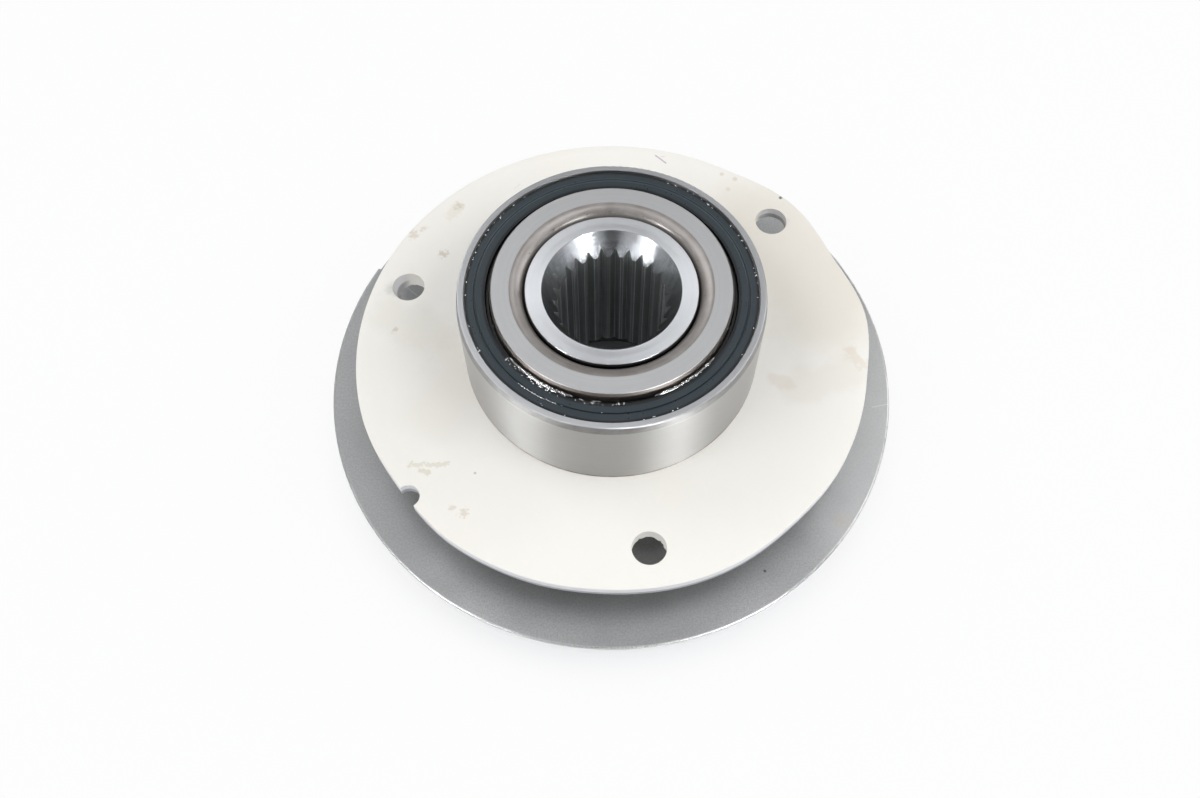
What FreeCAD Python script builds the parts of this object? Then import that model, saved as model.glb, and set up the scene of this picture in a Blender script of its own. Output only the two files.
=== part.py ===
import FreeCAD, Part
import math
import os
import re
import Sketcher

# Wheel hub bearing: splined hub, double-row ball bearing, cover disc and dust shield.
# Z runs along the bearing axis, up towards the drive shaft.
# Z = 0 is the end of the wheel pilot, which the part stands on.

# Driving dimensions in mm and degrees: alias, value, what it is
SIZES = [
    ("ball_dia", "11.9", "ball diameter"),
    ("ball_pitch_dia", "62.5", "pitch circle of the balls"),
    ("ball_gap", "2.1", "least distance between neighbouring balls, along the pitch circle"),
    ("ball_clearance", "0.05", "play between a ball and its raceway"),
    ("row_spacing", "19", "distance between the two ball rows"),
    ("contact_angle", "36", "contact angle of the balls"),
    ("groove_relief", "0.2", "raceway groove radius past the ball's radius and its play"),
    ("inner_wall", "2.8", "inner ring wall between its bore and the balls"),
    ("inner_low_shoulder_height", "1.1", "inner raceway shoulder above the balls' inner circle, free side"),
    ("inner_high_shoulder_height", "4.5", "inner raceway shoulder above that circle, loaded side"),
    ("inner_shoulder_flat", "0.13", "flat of the loaded shoulder beside the raceway"),
    ("inner_land_step", "1.5", "seal land above the loaded shoulder"),
    ("inner_edge_radial", "0.56", "inner ring edge chamfer, radial"),
    ("inner_edge_axial", "0.8", "inner ring edge chamfer, axial"),
    ("bore_corner_radius", "3.8", "corner radius at the inner ring's bore"),
    ("clip_groove_depth", "1.3", "groove for the clip in the inner ring bores"),
    ("clip_groove_width", "3", "width of that groove in each ring"),
    ("clip_thickness", "0.9", "clip wall"),
    ("clip_clearance", "0.2", "play round the clip"),
    ("outer_wall", "2.8", "outer ring wall between the balls and its outside"),
    ("outer_low_shoulder_height", "0.3", "outer raceway shoulder inside the balls' outer circle, seal side"),
    ("outer_high_shoulder_height", "3.9", "outer raceway shoulder inside that circle, between the rows"),
    ("outer_setback", "1.6", "outer ring face below the inner ring's face"),
    ("outer_lead_radial", "0.4", "outer ring lead-in taper, radial"),
    ("outer_lead_axial", "2.8", "outer ring lead-in taper, axial"),
    ("outer_face_round", "0.4", "rounding between the face and the lead-in"),
    ("row_stagger", "12.857", "turn of the outboard row against the inboard row"),
    ("cage_pocket_clearance", "0.3", "play between a ball and its pocket"),
    ("cage_rim_setback", "1", "cage rim from the bearing's middle"),
    ("cage_rim_height", "3.2", "height of the cage rim's narrow part"),
    ("cage_rim_gap", "0.6", "cage rim to the outer ring's shoulder"),
    ("cage_rim_wall", "4.5", "cage rim, from its inside to its outside"),
    ("cage_slope_height", "1", "height of the slope from the rim to the fingers"),
    ("cage_finger_inside", "1.95", "cage fingers inside the pitch circle"),
    ("cage_finger_outside", "2.35", "cage fingers outside the pitch circle"),
    ("cage_reach", "2.7", "cage fingers past the ball centres"),
    ("seal_ball_gap", "1.45", "balls to the seal seat's floor"),
    ("seal_seat_wall", "2.05", "outer ring wall outside the seal seat"),
    ("seal_seat_depth", "4", "seal seat depth"),
    ("seal_recess", "0.6", "seal face below the outer ring's face"),
    ("seal_rim_gap", "0.3", "open ring between seal and outer ring"),
    ("seal_rim_height", "0.7", "height of the rubber over the core's edge"),
    ("seal_groove_inset", "2.45", "fine ring groove in the seal's face, middle to the seal's rim"),
    ("seal_groove_width", "0.6", "width of that groove at the face"),
    ("seal_groove_floor", "0.3", "width of that groove at its floor"),
    ("seal_groove_depth", "0.4", "depth of that groove"),
    ("seal_lip_gap", "0.3", "lip to the inner ring's land"),
    ("seal_lip_width", "1.7", "rubber between the lip's edge and the core"),
    ("seal_lip_drop", "1.1", "sealing lip below the seal's face"),
    ("seal_face_inset", "0.6", "lip's edge to the foot of the raised face"),
    ("seal_face_slope", "0.28", "slope of the raised face's inner side"),
    ("core_thickness", "0.6", "sheet of the seal core"),
    ("core_bend_radius", "0.4", "inside bend of the seal core"),
    ("pilot_dia", "66.5", "wheel pilot, outside diameter"),
    ("pilot_height", "8", "wheel pilot, from its end to the flange face"),
    ("pilot_chamfer", "1", "chamfer on the pilot's end"),
    ("flange_thickness", "10", "wheel flange thickness"),
    ("flange_margin", "13.5", "wheel flange outside the bolt circle"),
    ("flange_edge", "1.5", "chamfer on the flange's edge"),
    ("relief_depth", "1.5", "relief turned in the flange face round the pilot"),
    ("relief_margin", "4.25", "that relief to the wheel bolt holes"),
    ("shoulder_step", "7", "hub shoulder outside the spigot"),
    ("shoulder_height", "5", "shoulder height above the flange"),
    ("shoulder_chamfer", "0.5", "chamfer on the shoulder"),
    ("spigot_setback", "1", "hub spigot end below the inner ring's face"),
    ("spigot_chamfer", "0.44", "chamfer on the spigot's end"),
    ("spigot_face_width", "4.54", "spigot's end face with its chamfer, up to the countersink"),
    ("countersink_half_angle", "30", "half angle of the countersink"),
    ("spline_teeth", "26", "number of spline grooves"),
    ("spline_wall", "7.05", "spigot wall outside the spline grooves"),
    ("spline_depth", "1.3", "depth of the spline grooves"),
    ("spline_groove_mouth", "2.3", "groove width at the tooth tips"),
    ("spline_groove_bottom", "0.3", "groove width at its bottom"),
    ("spline_azimuth", "-3.2", "turn of the first groove from +Y"),
    ("spline_end_chamfer", "1.6", "chamfer of the spline at the nut seat"),
    ("nut_recess_dia", "46", "axle nut recess diameter"),
    ("nut_recess_depth", "16", "axle nut recess depth"),
    ("nut_recess_chamfer", "1", "chamfer at the recess mouth"),
    ("wheel_bolts", "5", "number of wheel bolt holes"),
    ("wheel_bolt_circle_dia", "112", "wheel bolt circle"),
    ("wheel_bolt_hole_dia", "12.5", "tapped wheel bolt hole, core diameter"),
    ("wheel_bolt_chamfer", "1", "chamfer on the wheel bolt holes"),
    ("wheel_bolt_azimuth", "28", "azimuth of the first wheel bolt hole"),
    ("disc_screw_hole_dia", "6.8", "tapped hole for the brake disc screw"),
    ("disc_screw_chamfer", "0.5", "chamfer on that hole"),
    ("disc_screw_turn", "36", "that hole from the first wheel bolt hole, in degrees"),
    ("cover_seat_length", "14.2", "seat of the cover disc, from the outer ring's lower face"),
    ("cover_thickness", "4", "cover disc thickness"),
    ("cover_dia", "141", "cover disc diameter"),
    ("cover_rim_offset", "1.2", "centre of the disc's rim, in front of the bearing axis"),
    ("cover_seat_step", "0.5", "step on the outer ring above the cover disc"),
    ("cover_fit_clearance", "0.05", "cover disc bore to its seat"),
    ("cover_top_edge", "0.4", "broken top edge of the cover disc"),
    ("cover_under_bevel_radial", "1", "bevel under the cover disc's rim, radial"),
    ("cover_under_bevel_axial", "1.8", "bevel under the cover disc's rim, axial"),
    ("cover_hole_dia", "9", "holes drilled through the cover disc"),
    ("cover_hole_1_inset", "10.4", "first hole, from the disc's rim"),
    ("cover_hole_1_azimuth", "162.6", "first hole, azimuth"),
    ("cover_hole_1_exit_dia", "7.6", "first hole, underneath, where it narrows"),
    ("cover_hole_1_lean_x", "1", "first hole, lean of its exit along X"),
    ("cover_hole_1_lean_y", "-0.5", "first hole, lean of its exit along Y"),
    ("cover_hole_2_inset", "8.5", "second hole, from the disc's rim"),
    ("cover_hole_2_azimuth", "42", "second hole, azimuth"),
    ("cover_hole_3_inset", "10.2", "third hole, from the disc's rim"),
    ("cover_hole_3_azimuth", "-80.4", "third hole, azimuth"),
    ("cover_notch_inset", "1.1", "hole broken through the edge, from the disc's rim"),
    ("cover_notch_azimuth", "-138.7", "hole broken through the edge, azimuth"),
    ("shield_overhang", "10.5", "dust shield past the wheel flange"),
    ("shield_thickness", "1.5", "dust shield sheet"),
    ("shield_edge_flat", "0.3", "flat left between the roundings of the shield's edge"),
    ("shield_fit_clearance", "0.05", "shield collar to the hub shoulder"),
    ("shield_collar_setback", "0.7", "shield collar below the hub shoulder's top"),
    ("shield_bend_radius", "1", "bend between the shield's collar and plate"),
    ("shield_bolt_clearance", "1.75", "shield's holes round the wheel bolt holes"),
    ("shield_hole_edge", "0.15", "broken edge of the shield's holes"),
    ("shield_relief_depth", "1", "shallow relief in the shield's rim"),
    ("shield_relief_azimuth", "117.5", "start of the rim relief"),
    ("shield_relief_angle", "35", "length of the rim relief"),
]

# Sizes that follow from the driving ones: alias, formula, what it is
FITTED = [
    ("balls_per_row", "=floor(pi * ball_pitch_dia / (ball_dia + ball_gap))", "number of balls in a row"),
    ("groove_radius", "=ball_dia / 2 + ball_clearance + groove_relief", "raceway groove radius"),
    ("ball_inner_dia", "=ball_pitch_dia - ball_dia", "circle inside the balls"),
    ("ball_outer_dia", "=ball_pitch_dia + ball_dia", "circle outside the balls"),
    ("bearing_bore_dia", "=ball_inner_dia - 2 * inner_wall", "inner ring bore and hub spigot"),
    ("bearing_outer_dia", "=ball_outer_dia + 2 * outer_wall", "outer ring outside diameter"),
    ("seal_reach", "=seal_ball_gap + seal_seat_depth + outer_setback", "balls to the inner ring's face"),
    ("bearing_width", "=row_spacing + ball_dia + 2 * seal_reach", "width over the two inner rings"),
    ("inner_low_shoulder_dia", "=ball_inner_dia + 2 * inner_low_shoulder_height", "inner ring, outside"),
    ("inner_high_shoulder_dia", "=ball_inner_dia + 2 * inner_high_shoulder_height", "inner ring, middle"),
    ("inner_land_dia", "=inner_high_shoulder_dia + 2 * inner_land_step", "seal land on the inner ring"),
    ("outer_low_shoulder_dia", "=ball_outer_dia - 2 * outer_low_shoulder_height", "outer ring, outside"),
    ("outer_high_shoulder_dia", "=ball_outer_dia - 2 * outer_high_shoulder_height", "outer ring, middle"),
    ("seal_seat_dia", "=bearing_outer_dia - 2 * seal_seat_wall", "seal seat in the outer ring"),
    ("seal_lip_dia", "=inner_land_dia + 2 * seal_lip_gap", "edge of the sealing lip"),
    ("core_inner_dia", "=seal_lip_dia + 2 * seal_lip_width", "inner edge of the seal core"),
    ("shoulder_dia", "=bearing_bore_dia + 2 * shoulder_step", "hub shoulder that the bearing stands on"),
    ("countersink_dia", "=bearing_bore_dia - 2 * spigot_face_width", "countersink at the spigot's end"),
    ("spline_groove_dia", "=bearing_bore_dia - 2 * spline_wall", "spline groove bottoms"),
    ("spline_bore_dia", "=spline_groove_dia - 2 * spline_depth", "spline tooth tips"),
    ("flange_dia", "=wheel_bolt_circle_dia + 2 * flange_margin", "wheel flange diameter"),
    ("relief_dia", "=wheel_bolt_circle_dia - wheel_bolt_hole_dia - 2 * relief_margin", "flange relief"),
    ("shield_dia", "=flange_dia + 2 * shield_overhang", "dust shield diameter"),
    ("shield_bolt_hole_dia", "=wheel_bolt_hole_dia + 2 * shield_bolt_clearance", "holes over the bolts"),
    ("shield_edge_round", "=(shield_thickness - shield_edge_flat) / 2", "rounded edge of the dust shield"),
]

doc = FreeCAD.newDocument("wheel_hub_bearing")
sheet = doc.addObject("Spreadsheet::Sheet", "Sizes")
for row, (alias, content, meaning) in enumerate(SIZES + FITTED, start=1):
    sheet.set("A%d" % row, alias)
    sheet.set("B%d" % row, content)
    sheet.set("C%d" % row, meaning)
    sheet.setAlias("B%d" % row, alias)
doc.recompute()
ALIASES = {alias for alias, content, meaning in SIZES + FITTED}


def bound(text):
    """Returns an expression with the sheet's name before each alias in it."""
    def qualify(match):
        word = match.group()
        return "Sizes." + word if word in ALIASES else word
    return re.sub(r"[A-Za-z_][A-Za-z_0-9]*", qualify, text)


def value(text):
    """Returns the number that an expression of aliases gives now."""
    return float(sheet.evalExpression(bound(text)))


# Levels and heights along the axis
FLANGE_TOP = "(pilot_height + flange_thickness)"
SHOULDER_TOP = "(pilot_height + flange_thickness + shoulder_height)"
BEARING_MIDDLE = "(pilot_height + flange_thickness + shoulder_height + bearing_width / 2)"
BEARING_TOP = "(pilot_height + flange_thickness + shoulder_height + bearing_width)"
SPIGOT_TOP = "(pilot_height + flange_thickness + shoulder_height + bearing_width - spigot_setback)"
OUTER_FACE_H = "(bearing_width / 2 - outer_setback)"
SEAL_FLOOR_H = "(bearing_width / 2 - outer_setback - seal_seat_depth)"
COVER_LEVEL = "(pilot_height + flange_thickness + shoulder_height + outer_setback + cover_seat_length)"

# Raceway centres: each groove is centred past the ball, away from its contact point
INNER_GROOVE_R = "(ball_pitch_dia / 2 + groove_relief * cos(contact_angle))"
INNER_GROOVE_H = "(row_spacing / 2 - groove_relief * sin(contact_angle))"
OUTER_GROOVE_R = "(ball_pitch_dia / 2 - groove_relief * cos(contact_angle))"
OUTER_GROOVE_H = "(row_spacing / 2 + groove_relief * sin(contact_angle))"


def along(side, height):
    """Returns a level at a height from the bearing's middle, up (1) or down (-1)."""
    return "(%s %s (%s))" % (BEARING_MIDDLE, "+" if side > 0 else "-", height)


def groove_reach(centre_radius, shoulder_dia):
    """Returns how far from its centre a raceway groove meets a shoulder."""
    return "sqrt(groove_radius ^ 2 - (%s - %s / 2) ^ 2)" % (centre_radius, shoulder_dia)


def plane_of(body, role):
    """Returns one of a body's own origin planes or axes."""
    return next(item for item in body.Origin.OriginFeatures if item.Role == role)


def new_body(label):
    body = doc.addObject("PartDesign::Body", label)
    body.Label = label
    return body


def new_sketch(body, name, role):
    sketch = body.newObject("Sketcher::SketchObject", name)
    sketch.AttachmentSupport = [(plane_of(body, role), "")]
    sketch.MapMode = "FlatFace"
    return sketch


def turn_sketch(sketch, axis, azimuth):
    """Turns a sketch about one of its own axes. A first turn that isn't zero sets the axis."""
    quarter_turn = FreeCAD.Rotation(axis, 90)
    sketch.AttachmentOffset = FreeCAD.Placement(FreeCAD.Vector(), quarter_turn)
    sketch.setExpression("AttachmentOffset.Rotation.Angle", bound(azimuth))


def constrain(sketch, kind, *places, size=None):
    """Adds a constraint, bound to an expression where it has a size."""
    if size is None:
        return sketch.addConstraint(Sketcher.Constraint(kind, *places))
    index = sketch.addConstraint(Sketcher.Constraint(kind, *places, value(size)))
    sketch.setExpression("Constraints[%d]" % index, bound(size))
    return index


def arc_between(start, end, radius, turn):
    """Returns the arc from start to end whose centre lies left (1) or right (-1) of the chord."""
    chord = end - start
    rise = math.sqrt(max(radius ** 2 - (chord.Length / 2) ** 2, 0))
    left = FreeCAD.Vector(-chord.y, chord.x, 0).normalize()
    centre = (start + end) / 2 + left * rise * turn
    first, last = (start, end) if turn > 0 else (end, start)
    angles = [math.atan2(point.y - centre.y, point.x - centre.x) for point in (first, last)]
    circle = Part.Circle(centre, FreeCAD.Vector(0, 0, 1), radius)
    return Part.ArcOfCircle(circle, angles[0], angles[1])


def draw_outline(sketch, corners):
    """Draws a closed outline. A corner is (x, y), or (x, y, radius, turn) where an arc follows it."""
    points = [FreeCAD.Vector(value(corner[0]), value(corner[1]), 0) for corner in corners]
    edges = []
    for index, corner in enumerate(corners):
        start = points[index]
        end = points[(index + 1) % len(points)]
        if len(corner) == 2:
            edges.append((sketch.addGeometry(Part.LineSegment(start, end), False), 1, 2))
        else:
            turn = corner[3]
            arc = sketch.addGeometry(arc_between(start, end, value(corner[2]), turn), False)
            edges.append((arc, 1, 2) if turn > 0 else (arc, 2, 1))
    for index, corner in enumerate(corners):
        edge, first, last = edges[index]
        following = edges[(index + 1) % len(edges)]
        constrain(sketch, "Coincident", edge, last, following[0], following[1])
        if corner[0] == "0":
            constrain(sketch, "PointOnObject", edge, first, -2)
        else:
            constrain(sketch, "DistanceX", -1, 1, edge, first, size=corner[0])
        if corner[1] == "0":
            constrain(sketch, "PointOnObject", edge, first, -1)
        else:
            constrain(sketch, "DistanceY", -1, 1, edge, first, size=corner[1])
        if len(corner) > 2:
            constrain(sketch, "Radius", edge, size=corner[2])


def revolve(body, name, corners, ahead=None):
    """Turns an outline of radii and levels round the bearing axis, or round a line ahead of it."""
    sketch = new_sketch(body, name + "_section", "XZ_Plane")
    if ahead:
        sketch.setExpression("AttachmentOffset.Base.z", bound(ahead))
    draw_outline(sketch, corners)
    turned = body.newObject("PartDesign::Revolution", name)
    turned.Profile = sketch
    turned.ReferenceAxis = (sketch, ["V_Axis"])
    turned.Angle = 360
    doc.recompute()
    return turned


def check_cut(body, before, name):
    """Stops the build where a cut has removed nothing."""
    doc.recompute()
    if not body.Shape.Volume < before:
        raise RuntimeError(name + " removes nothing")


def polar_copies(body, name, feature, count):
    """Repeats a cut round the bearing axis."""
    before = body.Shape.Volume
    pattern = body.newObject("PartDesign::PolarPattern", name)
    pattern.Originals = [feature]
    pattern.Axis = (plane_of(body, "Z_Axis"), [""])
    pattern.Angle = 360
    pattern.setExpression("Occurrences", bound(count))
    body.Tip = pattern
    check_cut(body, before, name)
    return pattern


def turned_cut(body, name, azimuth, corners, angle="360", axis="V_Axis", axis_radius=None):
    """Cuts an outline turned round the bearing axis, or round a line parallel to it."""
    before = body.Shape.Volume
    sketch = new_sketch(body, name + "_section", "XZ_Plane")
    turn_sketch(sketch, FreeCAD.Vector(0, 1, 0), azimuth)
    draw_outline(sketch, corners)
    if axis_radius is not None:
        foot = FreeCAD.Vector(value(axis_radius), 0, 0)
        head = FreeCAD.Vector(value(axis_radius), value(FLANGE_TOP), 0)
        centre = sketch.addGeometry(Part.LineSegment(foot, head), True)
        constrain(sketch, "Vertical", centre)
        constrain(sketch, "PointOnObject", centre, 1, -1)
        constrain(sketch, "DistanceX", -1, 1, centre, 1, size=axis_radius)
        constrain(sketch, "DistanceY", -1, 1, centre, 2, size=FLANGE_TOP)
    groove = body.newObject("PartDesign::Groove", name)
    groove.Profile = sketch
    groove.ReferenceAxis = (sketch, [axis])
    groove.setExpression("Angle", bound(angle))
    check_cut(body, before, name)
    return groove


def bored_hole(body, name, azimuth, radius, hole_dia, bottom, top, chamfer):
    """Bores a hole with chamfered mouths, parallel to the axis."""
    wall = "(%s + %s / 2)" % (radius, hole_dia)
    mouth = "(%s + %s / 2 + %s)" % (radius, hole_dia, chamfer)
    corners = [
        (radius, bottom),
        (mouth, bottom),
        (wall, "%s + %s" % (bottom, chamfer)),
        (wall, "%s - %s" % (top, chamfer)),
        (mouth, top),
        (radius, top),
    ]
    return turned_cut(body, name, azimuth, corners, axis="Axis0", axis_radius=radius)


def level_circle(body, name, radius, azimuth, level, diameter):
    """Draws a circle at a level, at a radius and azimuth from the bearing axis."""
    sketch = new_sketch(body, name, "XY_Plane")
    sketch.setExpression("AttachmentOffset.Base.x", bound("%s * cos(%s)" % (radius, azimuth)))
    sketch.setExpression("AttachmentOffset.Base.y", bound("%s * sin(%s)" % (radius, azimuth)))
    sketch.setExpression("AttachmentOffset.Base.z", bound(level))
    circle = Part.Circle(FreeCAD.Vector(), FreeCAD.Vector(0, 0, 1), value(diameter) / 2)
    ring = sketch.addGeometry(circle, False)
    constrain(sketch, "Coincident", ring, 3, -1, 1)
    constrain(sketch, "Diameter", ring, size=diameter)
    return sketch


def drilled_hole(body, name, radius, azimuth, level, diameter):
    """Drills a straight hole right through a disc."""
    before = body.Shape.Volume
    pocket = body.newObject("PartDesign::Pocket", name)
    pocket.Profile = level_circle(body, name + "_circle", radius, azimuth, level, diameter)
    pocket.Type = "ThroughAll"
    pocket.Midplane = True
    check_cut(body, before, name)
    return pocket


def skewed_hole(body, name, entry, way_out):
    """Cuts a hole that narrows and leans from its entry circle to its exit circle."""
    before = body.Shape.Volume
    first = level_circle(body, name + "_entry", *entry)
    last = level_circle(body, name + "_exit", *way_out)
    last.setExpression("AttachmentOffset.Base.x", bound("%s * cos(%s) + cover_hole_1_lean_x" % entry[:2]))
    last.setExpression("AttachmentOffset.Base.y", bound("%s * sin(%s) + cover_hole_1_lean_y" % entry[:2]))
    doc.recompute()
    loft = body.newObject("PartDesign::SubtractiveLoft", name)
    loft.Profile = first
    loft.Sections = [last]
    loft.Ruled = True
    check_cut(body, before, name)
    return loft


def make_wheel_hub():
    body = new_body("wheel_hub")
    pilot_r = "pilot_dia / 2"
    flange_r = "flange_dia / 2"
    shoulder_r = "shoulder_dia / 2"
    spigot_r = "bearing_bore_dia / 2"
    recess_r = "nut_recess_dia / 2"
    tooth_r = "spline_bore_dia / 2"
    cone_depth = "((countersink_dia - spline_bore_dia) / 2 / tan(countersink_half_angle))"
    revolve(body, "hub_forging", [
        (recess_r + " + nut_recess_chamfer", "0"),
        (pilot_r + " - pilot_chamfer", "0"),
        (pilot_r, "pilot_chamfer"),
        (pilot_r, "pilot_height + relief_depth"),
        ("relief_dia / 2 - relief_depth", "pilot_height + relief_depth"),
        ("relief_dia / 2", "pilot_height"),
        (flange_r + " - flange_edge", "pilot_height"),
        (flange_r, "pilot_height + flange_edge"),
        (flange_r, FLANGE_TOP + " - flange_edge"),
        (flange_r + " - flange_edge", FLANGE_TOP),
        (shoulder_r, FLANGE_TOP),
        (shoulder_r, SHOULDER_TOP + " - shoulder_chamfer"),
        (shoulder_r + " - shoulder_chamfer", SHOULDER_TOP),
        (spigot_r, SHOULDER_TOP),
        (spigot_r, SPIGOT_TOP + " - spigot_chamfer"),
        (spigot_r + " - spigot_chamfer", SPIGOT_TOP),
        ("countersink_dia / 2", SPIGOT_TOP),
        (tooth_r, "%s - %s" % (SPIGOT_TOP, cone_depth)),
        (tooth_r, "nut_recess_depth + spline_end_chamfer"),
        (tooth_r + " + spline_end_chamfer", "nut_recess_depth"),
        (recess_r, "nut_recess_depth"),
        (recess_r, "nut_recess_chamfer"),
    ])
    before = body.Shape.Volume
    sketch = new_sketch(body, "spline_groove_section", "XY_Plane")
    turn_sketch(sketch, FreeCAD.Vector(0, 0, 1), "spline_azimuth")
    # The groove's flanks run on into the bore by as much as the groove is deep
    mouth_half = "(spline_groove_mouth + (spline_groove_mouth - spline_groove_bottom)) / 2"
    bottom_half = "spline_groove_bottom / 2"
    inside_r = "spline_bore_dia - spline_groove_dia / 2"
    groove_r = "spline_groove_dia / 2"
    right_mouth = FreeCAD.Vector(value(mouth_half), value(inside_r), 0)
    right_bottom = FreeCAD.Vector(value(bottom_half), value(groove_r), 0)
    left_bottom = FreeCAD.Vector(-right_bottom.x, right_bottom.y, 0)
    left_mouth = FreeCAD.Vector(-right_mouth.x, right_mouth.y, 0)
    corners = [right_mouth, right_bottom, left_bottom, left_mouth]
    for index, corner in enumerate(corners):
        sketch.addGeometry(Part.LineSegment(corner, corners[(index + 1) % len(corners)]), False)
    for index in range(len(corners)):
        constrain(sketch, "Coincident", index, 2, (index + 1) % len(corners), 1)
    constrain(sketch, "Symmetric", 0, 1, 3, 1, -2)
    constrain(sketch, "Symmetric", 0, 2, 2, 1, -2)
    constrain(sketch, "DistanceX", -1, 1, 0, 1, size=mouth_half)
    constrain(sketch, "DistanceX", -1, 1, 0, 2, size=bottom_half)
    constrain(sketch, "DistanceY", -1, 1, 0, 1, size=inside_r)
    constrain(sketch, "DistanceY", -1, 1, 0, 2, size=groove_r)
    groove = body.newObject("PartDesign::Pocket", "spline_groove")
    groove.Profile = sketch
    groove.Type = "ThroughAll"
    groove.Reversed = True
    check_cut(body, before, "spline_groove")
    polar_copies(body, "spline", groove, "spline_teeth")
    bolt_hole = bored_hole(body, "wheel_bolt_hole", "wheel_bolt_azimuth", "wheel_bolt_circle_dia / 2",
                           "wheel_bolt_hole_dia", "pilot_height", FLANGE_TOP, "wheel_bolt_chamfer")
    polar_copies(body, "wheel_bolt_holes", bolt_hole, "wheel_bolts")
    bored_hole(body, "disc_screw_hole", "wheel_bolt_azimuth + disc_screw_turn", "wheel_bolt_circle_dia / 2",
               "disc_screw_hole_dia", "pilot_height", FLANGE_TOP, "disc_screw_chamfer")
    return body


def make_inner_ring(label, side):
    """Makes the inner ring half above (1) or below (-1) the bearing's middle."""
    body = new_body(label)
    bore_r = "bearing_bore_dia / 2"
    clip_r = "bearing_bore_dia / 2 + clip_groove_depth"
    face = "bearing_width / 2"
    land_r = "inner_land_dia / 2"
    high_r = "inner_high_shoulder_dia / 2"
    low_r = "inner_low_shoulder_dia / 2"
    low_edge = "%s - %s" % (INNER_GROOVE_H, groove_reach(INNER_GROOVE_R, "inner_low_shoulder_dia"))
    high_edge = "%s + %s" % (INNER_GROOVE_H, groove_reach(INNER_GROOVE_R, "inner_high_shoulder_dia"))
    shoulder_end = high_edge + " + inner_shoulder_flat"
    revolve(body, label + "_turning", [
        (clip_r, along(side, "0")),
        (low_r, along(side, "0")),
        (low_r, along(side, low_edge), "groove_radius", -side),
        (high_r, along(side, high_edge)),
        (high_r, along(side, shoulder_end)),
        (land_r, along(side, shoulder_end + " + inner_land_step")),
        (land_r, along(side, face + " - inner_edge_axial")),
        (land_r + " - inner_edge_radial", along(side, face)),
        (bore_r + " + bore_corner_radius", along(side, face), "bore_corner_radius", side),
        (bore_r, along(side, face + " - bore_corner_radius")),
        (bore_r, along(side, "clip_groove_width")),
        (clip_r, along(side, "clip_groove_width")),
    ])
    return body


def make_inner_ring_clip():
    body = new_body("inner_ring_clip")
    outside = "bearing_bore_dia / 2 + clip_groove_depth - clip_clearance"
    inside = outside + " - clip_thickness"
    half = "clip_groove_width - clip_clearance"
    revolve(body, "clip_sleeve", [
        (inside, along(-1, half)),
        (outside, along(-1, half)),
        (outside, along(1, half)),
        (inside, along(1, half)),
    ])
    return body


def make_outer_ring():
    body = new_body("outer_ring")
    outer_r = "bearing_outer_dia / 2"
    seat_r = "bearing_outer_dia / 2 - cover_seat_step"
    seal_r = "seal_seat_dia / 2"
    low_r = "outer_low_shoulder_dia / 2"
    high_r = "outer_high_shoulder_dia / 2"
    low_edge = "%s + %s" % (OUTER_GROOVE_H, groove_reach(OUTER_GROOVE_R, "outer_low_shoulder_dia"))
    high_edge = "%s - %s" % (OUTER_GROOVE_H, groove_reach(OUTER_GROOVE_R, "outer_high_shoulder_dia"))
    lead = " - outer_lead_radial"
    round_off = " - outer_face_round"
    revolve(body, "outer_ring_turning", [
        (seal_r, along(1, OUTER_FACE_H)),
        (seal_r, along(1, SEAL_FLOOR_H)),
        (low_r, along(1, SEAL_FLOOR_H)),
        (low_r, along(1, low_edge), "groove_radius", -1),
        (high_r, along(1, high_edge)),
        (high_r, along(-1, high_edge), "groove_radius", -1),
        (low_r, along(-1, low_edge)),
        (low_r, along(-1, SEAL_FLOOR_H)),
        (seal_r, along(-1, SEAL_FLOOR_H)),
        (seal_r, along(-1, OUTER_FACE_H)),
        (seat_r + lead + round_off, along(-1, OUTER_FACE_H), "outer_face_round", 1),
        (seat_r + lead, along(-1, OUTER_FACE_H + round_off)),
        (seat_r, along(-1, OUTER_FACE_H + " - outer_lead_axial")),
        (seat_r, COVER_LEVEL),
        (outer_r, COVER_LEVEL),
        (outer_r, along(1, OUTER_FACE_H + " - outer_lead_axial")),
        (outer_r + lead, along(1, OUTER_FACE_H + round_off), "outer_face_round", 1),
        (outer_r + lead + round_off, along(1, OUTER_FACE_H)),
    ])
    return body


def make_seal_core(label, side):
    """Makes the pressed ring that carries a seal: a cylinder with a leg turned inwards."""
    body = new_body(label)
    outside = "seal_seat_dia / 2"
    inside = "seal_seat_dia / 2 - core_thickness"
    top = OUTER_FACE_H + " - seal_recess - seal_rim_height"
    sheet_top = SEAL_FLOOR_H + " + core_thickness"
    bend_outside = "core_bend_radius + core_thickness"
    revolve(body, label + "_pressing", [
        ("core_inner_dia / 2", along(side, SEAL_FLOOR_H)),
        ("%s - (%s)" % (outside, bend_outside), along(side, SEAL_FLOOR_H), bend_outside, side),
        (outside, along(side, "%s + %s" % (SEAL_FLOOR_H, bend_outside))),
        (outside, along(side, top)),
        (inside, along(side, top)),
        (inside, along(side, sheet_top + " + core_bend_radius"), "core_bend_radius", -side),
        (inside + " - core_bend_radius", along(side, sheet_top)),
        ("core_inner_dia / 2", along(side, sheet_top)),
    ])
    return body


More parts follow.
